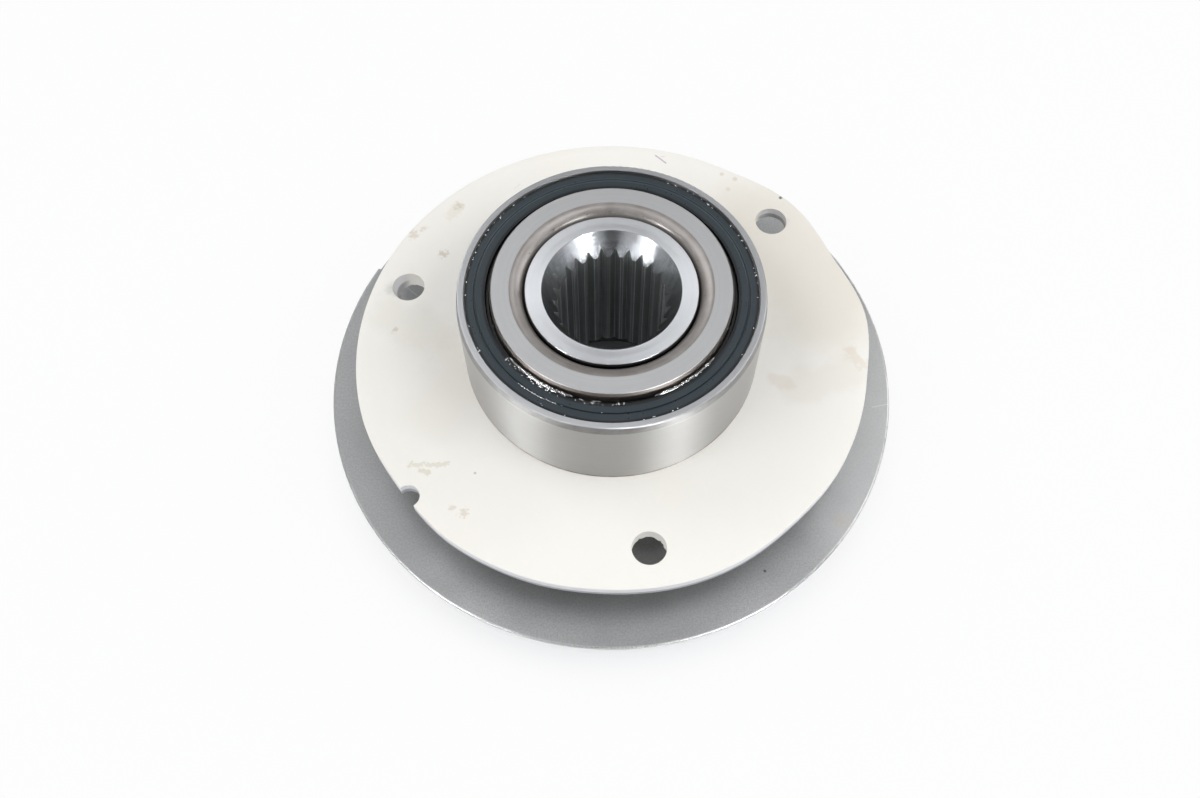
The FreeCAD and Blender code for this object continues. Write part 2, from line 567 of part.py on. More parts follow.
def make_seal(label, side):
    """Makes the rubber of a seal: raised face with a ring groove, and a lip beside the inner ring."""
    body = new_body(label)
    face = OUTER_FACE_H + " - seal_recess"
    rim_r = "seal_seat_dia / 2 - seal_rim_gap"
    core_r = "seal_seat_dia / 2 - core_thickness"
    core_edge = face + " - seal_rim_height"
    sheet_top = SEAL_FLOOR_H + " + core_thickness"
    lip_r = "seal_lip_dia / 2"
    foot_r = "seal_lip_dia / 2 + seal_face_inset"
    lip_top = face + " - seal_lip_drop"
    groove_r = rim_r + " - seal_groove_inset"
    revolve(body, label + "_moulding", [
        (lip_r, along(side, SEAL_FLOOR_H)),
        ("core_inner_dia / 2", along(side, SEAL_FLOOR_H)),
        ("core_inner_dia / 2", along(side, sheet_top)),
        (core_r + " - core_bend_radius", along(side, sheet_top), "core_bend_radius", side),
        (core_r, along(side, sheet_top + " + core_bend_radius")),
        (core_r, along(side, core_edge)),
        (rim_r, along(side, core_edge)),
        (rim_r, along(side, face)),
        (groove_r + " + seal_groove_width / 2", along(side, face)),
        (groove_r + " + seal_groove_floor / 2", along(side, face + " - seal_groove_depth")),
        (groove_r + " - seal_groove_floor / 2", along(side, face + " - seal_groove_depth")),
        (groove_r + " - seal_groove_width / 2", along(side, face)),
        (foot_r + " + seal_face_slope", along(side, face)),
        (foot_r, along(side, lip_top)),
        (lip_r, along(side, lip_top)),
    ])
    return body


def make_cage(label, side, stagger):
    """Makes a snap cage: a rim towards the bearing's middle and fingers between the balls."""
    body = new_body(label)
    rim_out = "outer_high_shoulder_dia / 2 - cage_rim_gap"
    rim_in = rim_out + " - cage_rim_wall"
    finger_in = "ball_pitch_dia / 2 - cage_finger_inside"
    finger_out = "ball_pitch_dia / 2 + cage_finger_outside"
    rim_end = "cage_rim_setback + cage_rim_height"
    slope_end = rim_end + " + cage_slope_height"
    finger_end = "row_spacing / 2 + cage_reach"
    revolve(body, label + "_moulding", [
        (rim_in, along(side, "cage_rim_setback")),
        (rim_out, along(side, "cage_rim_setback")),
        (rim_out, along(side, rim_end)),
        (finger_out, along(side, slope_end)),
        (finger_out, along(side, finger_end)),
        (finger_in, along(side, finger_end)),
        (finger_in, along(side, slope_end)),
        (rim_in, along(side, rim_end)),
    ])
    before = body.Shape.Volume
    pocket = body.newObject("PartDesign::SubtractiveSphere", label + "_pocket")
    pocket.AttachmentSupport = [(plane_of(body, "XY_Plane"), "")]
    pocket.MapMode = "FlatFace"
    pocket.setExpression("Radius", bound("ball_dia / 2 + cage_pocket_clearance"))
    pocket.setExpression("AttachmentOffset.Base.x", bound("ball_pitch_dia / 2 * cos(%s)" % stagger))
    pocket.setExpression("AttachmentOffset.Base.y", bound("ball_pitch_dia / 2 * sin(%s)" % stagger))
    pocket.setExpression("AttachmentOffset.Base.z", bound(along(side, "row_spacing / 2")))
    check_cut(body, before, label + "_pocket")
    polar_copies(body, label + "_pockets", pocket, "balls_per_row")
    return body


def make_ball_row(prefix, side, stagger):
    """Makes one row of balls, each in the middle of its cage pocket."""
    balls = []
    for index in range(round(value("balls_per_row"))):
        label = "%s_%02d" % (prefix, index + 1)
        ball = doc.addObject("Part::Sphere", label)
        ball.Label = label
        azimuth = "(%s + %d * 360 / balls_per_row)" % (stagger, index)
        ball.setExpression("Radius", bound("ball_dia / 2"))
        ball.setExpression("Placement.Base.x", bound("ball_pitch_dia / 2 * cos(%s)" % azimuth))
        ball.setExpression("Placement.Base.y", bound("ball_pitch_dia / 2 * sin(%s)" % azimuth))
        ball.setExpression("Placement.Base.z", bound(along(side, "row_spacing / 2")))
        balls.append(ball)
    return balls


def make_cover_disc():
    body = new_body("cover_disc")
    bore_dia = "(bearing_outer_dia - 2 * cover_seat_step + 2 * cover_fit_clearance)"
    rim_r = "cover_dia / 2"
    bottom = COVER_LEVEL + " - cover_thickness"
    revolve(body, "cover_plate", [
        ("0", bottom),
        (rim_r + " - cover_under_bevel_radial", bottom),
        (rim_r, bottom + " + cover_under_bevel_axial"),
        (rim_r, COVER_LEVEL + " - cover_top_edge"),
        (rim_r + " - cover_top_edge", COVER_LEVEL),
        ("0", COVER_LEVEL),
    ], ahead="cover_rim_offset")
    drilled_hole(body, "cover_bore", "0", "0", COVER_LEVEL, bore_dia)
    first_hole = ("(cover_dia / 2 - cover_hole_1_inset)", "cover_hole_1_azimuth")
    skewed_hole(body, "cover_hole_1", first_hole + (COVER_LEVEL, "cover_hole_dia"),
                first_hole + (bottom, "cover_hole_1_exit_dia"))
    for name in ("cover_hole_2", "cover_hole_3", "cover_notch"):
        radius = "(cover_dia / 2 - %s_inset)" % name
        drilled_hole(body, name, radius, name + "_azimuth", COVER_LEVEL, "cover_hole_dia")
    return body


def make_dust_shield():
    body = new_body("dust_shield")
    collar_r = "shoulder_dia / 2 + shield_fit_clearance"
    collar_out = collar_r + " + shield_thickness"
    rim_r = "shield_dia / 2"
    sheet_top = FLANGE_TOP + " + shield_thickness"
    collar_top = SHOULDER_TOP + " - shield_collar_setback"
    edge = "shield_edge_round"
    revolve(body, "shield_pressing", [
        (collar_r, FLANGE_TOP),
        (rim_r + " - " + edge, FLANGE_TOP, edge, 1),
        (rim_r, "%s + %s" % (FLANGE_TOP, edge)),
        (rim_r, "%s - %s" % (sheet_top, edge), edge, 1),
        (rim_r + " - " + edge, sheet_top),
        (collar_out + " + shield_bend_radius", sheet_top, "shield_bend_radius", -1),
        (collar_out, sheet_top + " + shield_bend_radius"),
        (collar_out, collar_top),
        (collar_r, collar_top),
    ])
    bolt_hole = bored_hole(body, "shield_bolt_hole", "wheel_bolt_azimuth", "wheel_bolt_circle_dia / 2",
                           "shield_bolt_hole_dia", FLANGE_TOP, sheet_top, "shield_hole_edge")
    polar_copies(body, "shield_bolt_holes", bolt_hole, "wheel_bolts")
    outside = rim_r + " + shield_relief_depth"
    inside = rim_r + " - shield_relief_depth"
    turned_cut(body, "shield_rim_relief", "shield_relief_azimuth", [
        (inside, FLANGE_TOP + " - shield_thickness"),
        (outside, FLANGE_TOP + " - shield_thickness"),
        (outside, sheet_top + " + shield_thickness"),
        (inside, sheet_top + " + shield_thickness"),
    ], angle="shield_relief_angle")
    return body


def check(parts):
    """Stops the build where an object failed or a shape isn't sound."""
    for item in doc.Objects:
        if "Invalid" in item.State or "Error" in item.State:
            raise RuntimeError("%s is in state %s" % (item.Label, item.State))
    for item in parts:
        if item.Shape.isNull() or not item.Shape.isValid():
            raise RuntimeError("%s has no sound shape" % item.Label)


NO_STAGGER = "0"
parts = [
    make_wheel_hub(),
    make_inner_ring("inner_ring_inboard", 1),
    make_inner_ring("inner_ring_outboard", -1),
    make_inner_ring_clip(),
    make_outer_ring(),
    make_seal_core("seal_core_inboard", 1),
    make_seal_core("seal_core_outboard", -1),
    make_seal("seal_inboard", 1),
    make_seal("seal_outboard", -1),
    make_cage("cage_inboard", 1, NO_STAGGER),
    make_cage("cage_outboard", -1, "row_stagger"),
    make_cover_disc(),
    make_dust_shield(),
]
parts += make_ball_row("ball_inboard", 1, NO_STAGGER)
parts += make_ball_row("ball_outboard", -1, "row_stagger")
doc.recompute()
check(parts)

os.makedirs("parts", exist_ok=True)
for item in parts:
    item.Shape.exportStep("parts/%s.step" % item.Label)
    print(item.Label, round(item.Shape.Volume, 1))
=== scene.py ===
"""Looks of the wheel hub bearing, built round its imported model. All lengths are in metres."""

import logging
import math
import random
from collections.abc import Callable
from dataclasses import dataclass
from enum import Enum

import bmesh
import bpy
from mathutils import Matrix, Vector


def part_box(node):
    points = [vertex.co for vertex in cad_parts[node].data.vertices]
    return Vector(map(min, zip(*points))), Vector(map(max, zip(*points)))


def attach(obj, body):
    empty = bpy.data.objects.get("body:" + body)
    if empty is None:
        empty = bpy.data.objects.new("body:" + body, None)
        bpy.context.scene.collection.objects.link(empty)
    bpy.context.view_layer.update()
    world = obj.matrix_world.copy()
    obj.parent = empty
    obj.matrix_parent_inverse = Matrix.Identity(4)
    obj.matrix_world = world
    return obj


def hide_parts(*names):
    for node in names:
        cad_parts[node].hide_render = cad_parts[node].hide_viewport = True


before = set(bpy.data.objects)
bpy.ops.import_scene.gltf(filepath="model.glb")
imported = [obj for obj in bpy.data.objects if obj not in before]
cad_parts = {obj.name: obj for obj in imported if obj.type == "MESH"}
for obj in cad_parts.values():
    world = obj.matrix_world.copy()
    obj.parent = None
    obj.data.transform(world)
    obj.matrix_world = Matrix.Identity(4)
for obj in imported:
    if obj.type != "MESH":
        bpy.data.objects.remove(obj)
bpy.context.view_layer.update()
LOG = logging.getLogger("wheel_hub_bearing")
MM = 0.001
Socket = bpy.types.NodeSocket
SHIELD_SHEET = 1.5 * MM


class Level(Enum):
    """Heights above the table that the finishes need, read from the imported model."""

    OUTER_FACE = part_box("outer_ring")[1].z
    COVER_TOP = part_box("cover_disc")[1].z
    SHEET_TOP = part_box("dust_shield")[0].z + SHIELD_SHEET
    SPIGOT_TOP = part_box("wheel_hub")[1].z


class Reach(Enum):
    """Radii from the bearing axis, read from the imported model."""

    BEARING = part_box("outer_ring")[1].x
    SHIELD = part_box("dust_shield")[1].x


class Wiring:
    """Places and joins the nodes of one node tree."""

    def __init__(self, tree: bpy.types.NodeTree) -> None:
        """Starts with an empty tree."""
        self.tree = tree
        tree.nodes.clear()

    def put(self, kind: str, feeds: dict | None = None, **settings) -> bpy.types.Node:
        """Adds a node.

        Args:
            kind: the node's type.
            feeds: socket name or number to a value or to another node's socket.
            settings: the node's own settings.

        Returns:
            The new node.
        """
        node = self.tree.nodes.new(kind)
        for name, setting in settings.items():
            setattr(node, name, setting)
        for name, feed in (feeds or {}).items():
            self.feed(node.inputs[name], feed)
        return node

    def feed(self, socket: Socket, feed) -> None:
        """Joins a socket to another socket, or sets its value."""
        if isinstance(feed, Socket):
            self.tree.links.new(feed, socket)
        elif isinstance(feed, tuple) and len(feed) == 3 and socket.type == "RGBA":
            socket.default_value = (*feed, 1.0)
        else:
            socket.default_value = feed

    def maths(self, operation: str, *values, clamp: bool = False) -> Socket:
        """Returns the result of a sum on numbers."""
        node = self.put("ShaderNodeMath", dict(enumerate(values)), operation=operation, use_clamp=clamp)
        return node.outputs[0]

    def vector(self, operation: str, *values) -> Socket:
        """Returns the result of a sum on vectors."""
        node = self.put("ShaderNodeVectorMath", dict(enumerate(values)), operation=operation)
        single = operation in ("LENGTH", "DISTANCE", "DOT_PRODUCT")
        return node.outputs["Value" if single else "Vector"]

    def fade(self, value, start: float, end: float, low: float = 0.0, high: float = 1.0) -> Socket:
        """Returns low up to start and high past end, with a smooth change between them."""
        feeds = {"Value": value, "From Min": start, "From Max": end, "To Min": low, "To Max": high}
        return self.put("ShaderNodeMapRange", feeds, interpolation_type="SMOOTHSTEP").outputs["Result"]

    def band(self, value, start: float, end: float, soft: float) -> Socket:
        """Returns one between start and end and zero outside, with soft edges."""
        rise = self.fade(value, start - soft, start + soft)
        fall = self.fade(value, end - soft, end + soft, 1.0, 0.0)
        return self.maths("MULTIPLY", rise, fall)

    def noise(self, place, scale: float, detail: float = 3.0, rough: float = 0.5) -> Socket:
        """Returns cloudy noise from 0 to 1 at a place."""
        feeds = {"Vector": place, "Scale": scale, "Detail": detail, "Roughness": rough}
        return self.put("ShaderNodeTexNoise", feeds).outputs[0]

    def line_noise(self, along, scale: float, detail: float = 3.0, rough: float = 0.5) -> Socket:
        """Returns noise from 0 to 1 that changes only along one number."""
        feeds = {"W": along, "Scale": scale, "Detail": detail, "Roughness": rough}
        return self.put("ShaderNodeTexNoise", feeds, noise_dimensions="1D").outputs[0]

    def tint(self, share, first, second, word: str = "Color") -> Socket:
        """Returns a mix of two colours, or of two vectors where word is Vector."""
        node = self.put("ShaderNodeMix", data_type={"Color": "RGBA", "Vector": "VECTOR"}[word])
        for name, feed in (("Factor_Float", share), ("A_" + word, first), ("B_" + word, second)):
            self.feed(next(item for item in node.inputs if item.identifier == name), feed)
        return next(item for item in node.outputs if item.identifier == "Result_" + word)

    def round_tangent(self) -> Socket:
        """Returns the direction of turning marks, round the bearing axis."""
        return self.put("ShaderNodeTangent", direction_type="RADIAL", axis="Z").outputs[0]

    def bump(self, height, distance: float, strength: float = 1.0) -> Socket:
        """Returns the normal of a surface raised by a height from 0 to 1."""
        feeds = {"Height": height, "Distance": distance, "Strength": strength}
        return self.put("ShaderNodeBump", feeds).outputs["Normal"]


@dataclass(frozen=True)
class Port:
    """One named socket of an effect."""

    name: str
    kind: str = "NodeSocketFloat"
    value: float | tuple = 0.0


class Effect:
    """A node group that more than one material uses. It is built once."""

    name = ""
    takes: tuple[Port, ...] = ()
    gives: tuple[Port, ...] = ()

    def fill(self, w: Wiring, takes: bpy.types.Node) -> dict:
        """Wires the effect and returns what goes to each output."""
        raise NotImplementedError

    def tree(self) -> bpy.types.NodeTree:
        """Returns the effect's node group."""
        found = bpy.data.node_groups.get(self.name)
        if found:
            return found
        group = bpy.data.node_groups.new(self.name, "ShaderNodeTree")
        for direction, ports in (("INPUT", self.takes), ("OUTPUT", self.gives)):
            for port in ports:
                socket = group.interface.new_socket(name=port.name, in_out=direction, socket_type=port.kind)
                if direction == "INPUT":
                    socket.default_value = port.value
        w = Wiring(group)
        takes = w.put("NodeGroupInput")
        w.put("NodeGroupOutput", self.fill(w, takes))
        return group

    def place(self, w: Wiring, **feeds) -> dict[str, Socket]:
        """Puts the effect in a material.

        Args:
            w: the material's wiring.
            feeds: input name, with _ for a space, to a value or socket.

        Returns:
            Output name to socket.
        """
        node = w.put("ShaderNodeGroup", node_tree=self.tree())
        for name, feed in feeds.items():
            w.feed(node.inputs[name.replace("_", " ")], feed)
        return {socket.name: socket for socket in node.outputs}


class RoundTheAxis(Effect):
    """Radius, height and turn of a point round the bearing axis."""

    name = "Round the axis"
    gives = (Port("Radius"), Port("Height"), Port("Turn"), Port("Place", "NodeSocketVector"))

    def fill(self, w: Wiring, takes: bpy.types.Node) -> dict:
        """Splits the object's own coordinates."""
        place = w.put("ShaderNodeTexCoord").outputs["Object"]
        parts = w.put("ShaderNodeSeparateXYZ", {0: place}).outputs
        flat = w.put("ShaderNodeCombineXYZ", {0: parts[0], 1: parts[1]}).outputs[0]
        turn = w.maths("ARCTAN2", parts[1], parts[0])
        return {"Radius": w.vector("LENGTH", flat), "Height": parts[2], "Turn": turn, "Place": place}


class TurnedLines(Effect):
    """Fine rings that a lathe or grinding wheel leaves, on faces and cylinders alike."""

    name = "Turned lines"
    takes = (Port("Spacing", value=0.0002), Port("Drift", value=0.3))
    gives = (Port("Lines"), Port("Bands"))

    def fill(self, w: Wiring, takes: bpy.types.Node) -> dict:
        """Makes noise along the radius and height, which drifts a little round the axis."""
        axis = RoundTheAxis().place(w)
        along = w.maths("ADD", axis["Radius"], w.maths("MULTIPLY", axis["Height"], 0.83))
        wander = w.maths("MULTIPLY", w.noise(axis["Place"], 60.0), takes.outputs["Drift"])
        fine = w.maths("ADD", w.maths("DIVIDE", along, takes.outputs["Spacing"]), wander)
        return {"Lines": w.line_noise(fine, 1.0, 4.0, 0.7), "Bands": w.line_noise(along, 700.0, 3.0, 0.6)}


class MarkShape(Effect):
    """A stain, dot, scratch or patch of painted shade or sheen round the line between two points, with a
    frayed edge.
    """

    name = "Mark shape"
    takes = (*(Port(name, "NodeSocketVector", (0.0, 0.0, 0.0)) for name in ("Start", "End")),
             Port("Size", value=0.004), Port("Fray", value=0.6), Port("Grain", value=420.0))
    gives = (Port("Mask"),)

    def fill(self, w: Wiring, takes: bpy.types.Node) -> dict:
        """Compares the distance from the line with a noisy size."""
        place = w.put("ShaderNodeTexCoord").outputs["Object"]
        start = takes.outputs["Start"]
        run = w.vector("SUBTRACT", takes.outputs["End"], start)
        away = w.vector("SUBTRACT", place, start)
        along, whole = w.vector("DOT_PRODUCT", away, run), w.vector("DOT_PRODUCT", run, run)
        share = w.maths("DIVIDE", along, whole, clamp=True)
        nearest = w.put("ShaderNodeVectorMath", {0: run, "Scale": share}, operation="SCALE").outputs[0]
        gap = w.maths("DIVIDE", w.vector("DISTANCE", away, nearest), takes.outputs["Size"])
        cloud = w.maths("SUBTRACT", w.noise(place, takes.outputs["Grain"], 4.0, 0.6), 0.5)
        reach = w.maths("MULTIPLY", takes.outputs["Fray"], 3.0)
        frayed = w.maths("ADD", gap, w.maths("MULTIPLY", cloud, reach))
        return {"Mask": w.fade(frayed, 0.3, 1.0, 1.0, 0.0)}


@dataclass(frozen=True)
class Mark:
    """A stain, dot, scratch or patch of painted shade or sheen on a face. Places and sizes are in
    millimetres.
    """

    tint: tuple
    start: tuple
    end: tuple
    size: float
    strength: float = 0.6
    fray: float = 0.6
    grain: float = 420.0
    depth: float = 0.0

    def lay(self, w: Wiring, base, level: float) -> Socket:
        """Lays the mark over a colour.

        Args:
            w: the material's wiring.
            base: the colour under the mark.
            level: height of the marked face, in metres.

        Returns:
            The colour with the mark on it.
        """
        ends = [(x * MM, y * MM, level - self.depth * MM) for x, y in (self.start, self.end)]
        shape = MarkShape().place(w, Start=ends[0], End=ends[1], Size=self.size * MM,
                                  Fray=self.fray, Grain=self.grain)
        return w.tint(w.maths("MULTIPLY", shape["Mask"], self.strength), base, self.tint)


def stain(tint: tuple, x: float, y: float, size: float, strength: float = 0.5) -> Mark:
    """Returns a small wispy stain."""
    return Mark(tint, (x, y), (x, y), size, strength, 1.1, 1300.0)


def dot(tint: tuple, x: float, y: float, size: float, strength: float = 0.8) -> Mark:
    """Returns a small plain dot."""
    return Mark(tint, (x, y), (x, y), size, strength, 0.1)


def scratch(tint: tuple, start: tuple, end: tuple, size: float, strength: float = 0.6) -> Mark:
    """Returns a thin scratch."""
    return Mark(tint, start, end, size, strength, 0.35, 2500.0)


def in_hole(tint: tuple, x: float, y: float, size: float, strength: float) -> Mark:
    """Returns painted shade on a hole's wall, below the face."""
    return Mark(tint, (x, y), (x, y), size, strength, 0.15, 400.0, 2.7)


@dataclass(frozen=True)
class Finish:
    """A material. Each kind wires its own colour, roughness and relief."""

    name: str
    slot: str

    def wire(self, w: Wiring) -> dict:
        """Returns what goes to each socket of the shader."""
        raise NotImplementedError

    def material(self) -> bpy.types.Material:
        """Returns the finish's material, which is built once."""
        found = bpy.data.materials.get(self.name)
        if found:
            return found
        made = bpy.data.materials.new(self.name)
        made.use_nodes = True
        w = Wiring(made.node_tree)
        shader = w.put("ShaderNodeBsdfPrincipled", self.wire(w))
        w.put("ShaderNodeOutputMaterial", {"Surface": shader.outputs[0]})
        return made

    def dress(self, piece: bpy.types.Object) -> None:
        """Gives a piece this finish in all its material slots."""
        if not piece.data.materials:
            piece.data.materials.append(None)
        for index in range(len(piece.data.materials)):
            piece.data.materials[index] = self.material()


@dataclass(frozen=True)
class TurnedHubSteel(Finish):
    """Forged steel, turned bright on the spigot, broached in the bore and dull on the flange."""

    bright: tuple = (0.71, 0.72, 0.74)
    worn: tuple = (0.62, 0.63, 0.65)
    broached: tuple = (0.50, 0.515, 0.51)
    streaked: tuple = (0.95, 0.96, 0.96)
    # painted shade for the gap round the spigot
    spigot_gap_shade: tuple = (0.06, 0.055, 0.055)
    dull: tuple = (0.33, 0.325, 0.315)
    face_edge: float = 22.06 * MM
    cone_mouth: float = 17.96 * MM
    cone_slope: float = math.tan(math.radians(30.0))
    spline_reach: float = 16.0 * MM
    recess_reach: float = 21.0 * MM
    flange_top: float = 24.0 * MM

    def wire(self, w: Wiring) -> dict:
        """Bright rings on the spigot, a crisp cone, dark cut flanks in the spline, dull flange."""
        axis = RoundTheAxis().place(w)
        turned = TurnedLines().place(w, Spacing=0.0004, Drift=0.5)
        depth = w.maths("SUBTRACT", Level.SPIGOT_TOP.value, axis["Height"])
        cone = w.maths("SUBTRACT", self.cone_mouth, w.maths("MULTIPLY", depth, self.cone_slope))
        behind = w.fade(w.maths("SUBTRACT", axis["Radius"], cone), 0.06 * MM, 0.30 * MM)
        inside = w.fade(axis["Radius"], self.spline_reach + 0.2 * MM, self.spline_reach - 0.2 * MM)
        flange = w.fade(axis["Height"], self.flange_top, self.flange_top - MM)
        within = w.fade(axis["Radius"], self.recess_reach, self.recess_reach - 0.2 * MM)
        recess = w.maths("MULTIPLY", flange, within)
        spline = w.maths("MAXIMUM", w.maths("MULTIPLY", behind, inside), recess)
        on_cone = w.band(w.maths("SUBTRACT", axis["Radius"], cone), -0.2 * MM, 0.05 * MM, 0.03 * MM)
        cloud = w.noise(axis["Place"], 90.0, 4.0)
        base = w.tint(w.fade(cloud, 0.35, 0.75, 0.0, 0.5), self.bright, self.worn)
        base = w.tint(w.maths("MULTIPLY", w.fade(turned["Bands"], 0.45, 0.7), 0.25), base, self.worn)
        streak = w.line_noise(w.maths("MULTIPLY", axis["Turn"], 38.0), 1.0, 1.0, 0.5)
        flanks = w.tint(w.fade(streak, 0.60, 0.66), self.broached, self.streaked)
        # painted shade on the spigot's chamfer and wall past the face edge, in the gap by the inner ring
        gap = w.fade(axis["Radius"], self.face_edge + 0.05 * MM, self.face_edge + 0.2 * MM)
        base = w.tint(gap, base, self.spigot_gap_shade)
        base = w.tint(flange, base, self.dull)
        base = w.tint(spline, base, flanks)
        gloss = w.fade(turned["Bands"], 0.3, 0.7, 0.38, 0.46)
        gloss = w.maths("SUBTRACT", gloss, w.maths("MULTIPLY", w.maths("MAXIMUM", on_cone, gap), 0.26))
        return {"Base Color": base, "Metallic": 1.0, "Roughness": gloss, "Tangent": w.round_tangent(),
                "Anisotropic": 0.5, "Anisotropic Rotation": 0.25,
                "Normal": w.bump(turned["Lines"], 0.000003, 0.4)}


@dataclass(frozen=True)
class GroundRingSteel(Finish):
    """Bearing steel, ground satin, with a brown film on the corner round the bore."""

    steel: tuple = (0.48, 0.48, 0.483)
    worn: tuple = (0.41, 0.41, 0.413)
    brown: tuple = (0.27, 0.247, 0.232)
    film_metal: float = 0.5
    stained: tuple = (0.12, 0.105, 0.095)
    chamfer_start: float = 30.8 * MM
    # painted shade for the foot of the corner radius, next to the spigot
    corner_gap_shade: tuple = (0.05, 0.045, 0.042)
    corner_shade_radius: float = 22.2 * MM
    corner_start: float = 22.0 * MM
    corner_end: float = 26.2 * MM

    def wire(self, w: Wiring) -> dict:
        """Ground rings, a brown film over the corner radius with painted shade at its foot, and a stained
        outer chamfer.
        """
        axis = RoundTheAxis().place(w)
        ground = TurnedLines().place(w, Spacing=0.00018, Drift=1.2)
        corner = w.band(axis["Radius"], self.corner_start, self.corner_end, 0.12 * MM)
        cloud = w.noise(axis["Place"], 220.0, 5.0, 0.6)
        film = w.maths("MULTIPLY", corner, w.fade(cloud, 0.25, 0.7, 0.75, 1.0))
        # painted shade at the foot of the corner radius, in the gap by the spigot
        corner_shade_share = w.fade(axis["Radius"], self.corner_shade_radius + 0.7 * MM, self.corner_shade_radius - 0.5 * MM)
        tone = w.tint(w.fade(ground["Bands"], 0.35, 0.65, 0.0, 0.25), self.steel, self.worn)
        film_and_shade = w.tint(corner_shade_share, self.brown, self.corner_gap_shade)
        chamfer = w.fade(axis["Radius"], self.chamfer_start - 0.05 * MM, self.chamfer_start + 0.1 * MM)
        tone = w.tint(chamfer, tone, self.stained)
        rough = w.fade(ground["Bands"], 0.3, 0.7, 0.46, 0.52)
        gloss = w.maths("SUBTRACT", rough, w.maths("MULTIPLY", corner, w.fade(cloud, 0.3, 0.7, 0.10, 0.20)))
        metal = w.fade(film, 0.0, 1.0, 1.0, self.film_metal)
        return {"Base Color": w.tint(film, tone, film_and_shade), "Metallic": metal, "Roughness": gloss,
                "Normal": w.bump(ground["Lines"], 0.000004, 0.3)}


@dataclass(frozen=True)
class OuterRingSteel(Finish):
    """Bearing steel, ground bright, with a rough turned lead-in and a dirty foot."""

    steel: tuple = (0.42, 0.413, 0.40)
    worn: tuple = (0.36, 0.353, 0.34)
    # painted light: a lighter tone for the up-facing top face
    face: tuple = (0.465, 0.47, 0.48)
    lead_in: tuple = (0.26, 0.255, 0.25)
    dirt: tuple = (0.20, 0.15, 0.11)
    lead_in_height: float = 2.4 * MM
    face_width: float = 0.45 * MM
    dirt_height: float = 0.7 * MM

    def wire(self, w: Wiring) -> dict:
        """Ground rings, painted light on the top face, a mottled dull lead-in below it, a brown line above
        the plate.
        """
        axis = RoundTheAxis().place(w)
        ground = TurnedLines().place(w, Spacing=0.00030, Drift=0.4)
        cloud = w.noise(axis["Place"], 260.0, 5.0, 0.65)
        top = Level.OUTER_FACE.value
        below = w.band(axis["Height"], top - self.lead_in_height, top - 0.1 * MM, 0.06 * MM)
        rim = Reach.BEARING.value - self.face_width
        outside = w.fade(axis["Radius"], rim - 0.2 * MM, rim)
        lead_in = w.maths("MULTIPLY", below, outside)
        plate = Level.COVER_TOP.value
        foot = w.band(axis["Height"], plate, plate + self.dirt_height, 0.25 * MM)
        tone = w.tint(w.fade(ground["Bands"], 0.35, 0.65, 0.0, 0.06), self.steel, self.worn)
        # painted light: the top face is made lighter than the rest of the ring
        on_face = w.fade(axis["Height"], top - 0.5 * MM, top - 0.1 * MM)
        tone = w.tint(on_face, tone, self.face)
        base = w.tint(w.maths("MULTIPLY", lead_in, w.fade(cloud, 0.3, 0.65, 1.0, 0.6)), tone, self.lead_in)
        base = w.tint(w.maths("MULTIPLY", foot, w.fade(cloud, 0.35, 0.6, 0.15, 0.8)), base, self.dirt)
        rough = w.fade(ground["Bands"], 0.3, 0.7, 0.41, 0.43)
        gloss = w.maths("ADD", rough, w.maths("MULTIPLY", lead_in, 0.10))
        tangent = w.tint(on_face, w.round_tangent(), (0.7, 0.7, 0.0), "Vector")
        return {"Base Color": base, "Metallic": 1.0, "Roughness": gloss, "Tangent": tangent,
                "Anisotropic": 0.8, "Anisotropic Rotation": 0.25,
                "Normal": w.bump(ground["Lines"], 0.000001, 0.3)}


@dataclass(frozen=True)
class SatinSheetSteel(Finish):
    """Pressed sheet with a matt satin skin."""

    tone: tuple = (0.43, 0.43, 0.428)
    dark: tuple = (0.29, 0.29, 0.288)
    shaded: tuple = (0.20, 0.205, 0.205)
    shade_start: float = 76.0 * MM
    shade_end: float = 62.0 * MM
    rim_highlight: tuple = (0.60, 0.60, 0.60)
    rim_width: float = 0.7 * MM
    marks: tuple = ()

    def wire(self, w: Wiring) -> dict:
        """Fine mill grain with soft darker clouds, painted shade under the cover disc, a painted rim
        highlight and a few marks.
        """
        axis = RoundTheAxis().place(w)
        grain = w.noise(axis["Place"], 1900.0, 3.0, 0.75)
        cloud = w.noise(axis["Place"], 45.0, 5.0, 0.6)
        base = w.tint(w.fade(cloud, 0.3, 0.7, 0.0, 0.4), self.tone, self.dark)
        base = w.tint(w.maths("MULTIPLY", w.fade(grain, 0.40, 0.62), 0.5), base, self.dark)
        base = w.tint(w.fade(axis["Radius"], self.shade_start, self.shade_end, 0.0, 0.35), base, self.shaded)
        # painted highlight along the rounded outer rim
        edge = Reach.SHIELD.value
        rim = w.fade(axis["Radius"], edge - self.rim_width, edge - self.rim_width / 2)
        base = w.tint(w.maths("MULTIPLY", rim, w.fade(grain, 0.3, 0.6)), base, self.rim_highlight)
        for mark in self.marks:
            base = mark.lay(w, base, Level.SHEET_TOP.value)
        gloss = w.maths("SUBTRACT", w.fade(grain, 0.2, 0.8, 0.42, 0.56), w.maths("MULTIPLY", rim, 0.14))
        return {"Base Color": base, "Metallic": 1.0, "Roughness": gloss,
                "Normal": w.bump(grain, 0.00004, 0.6)}


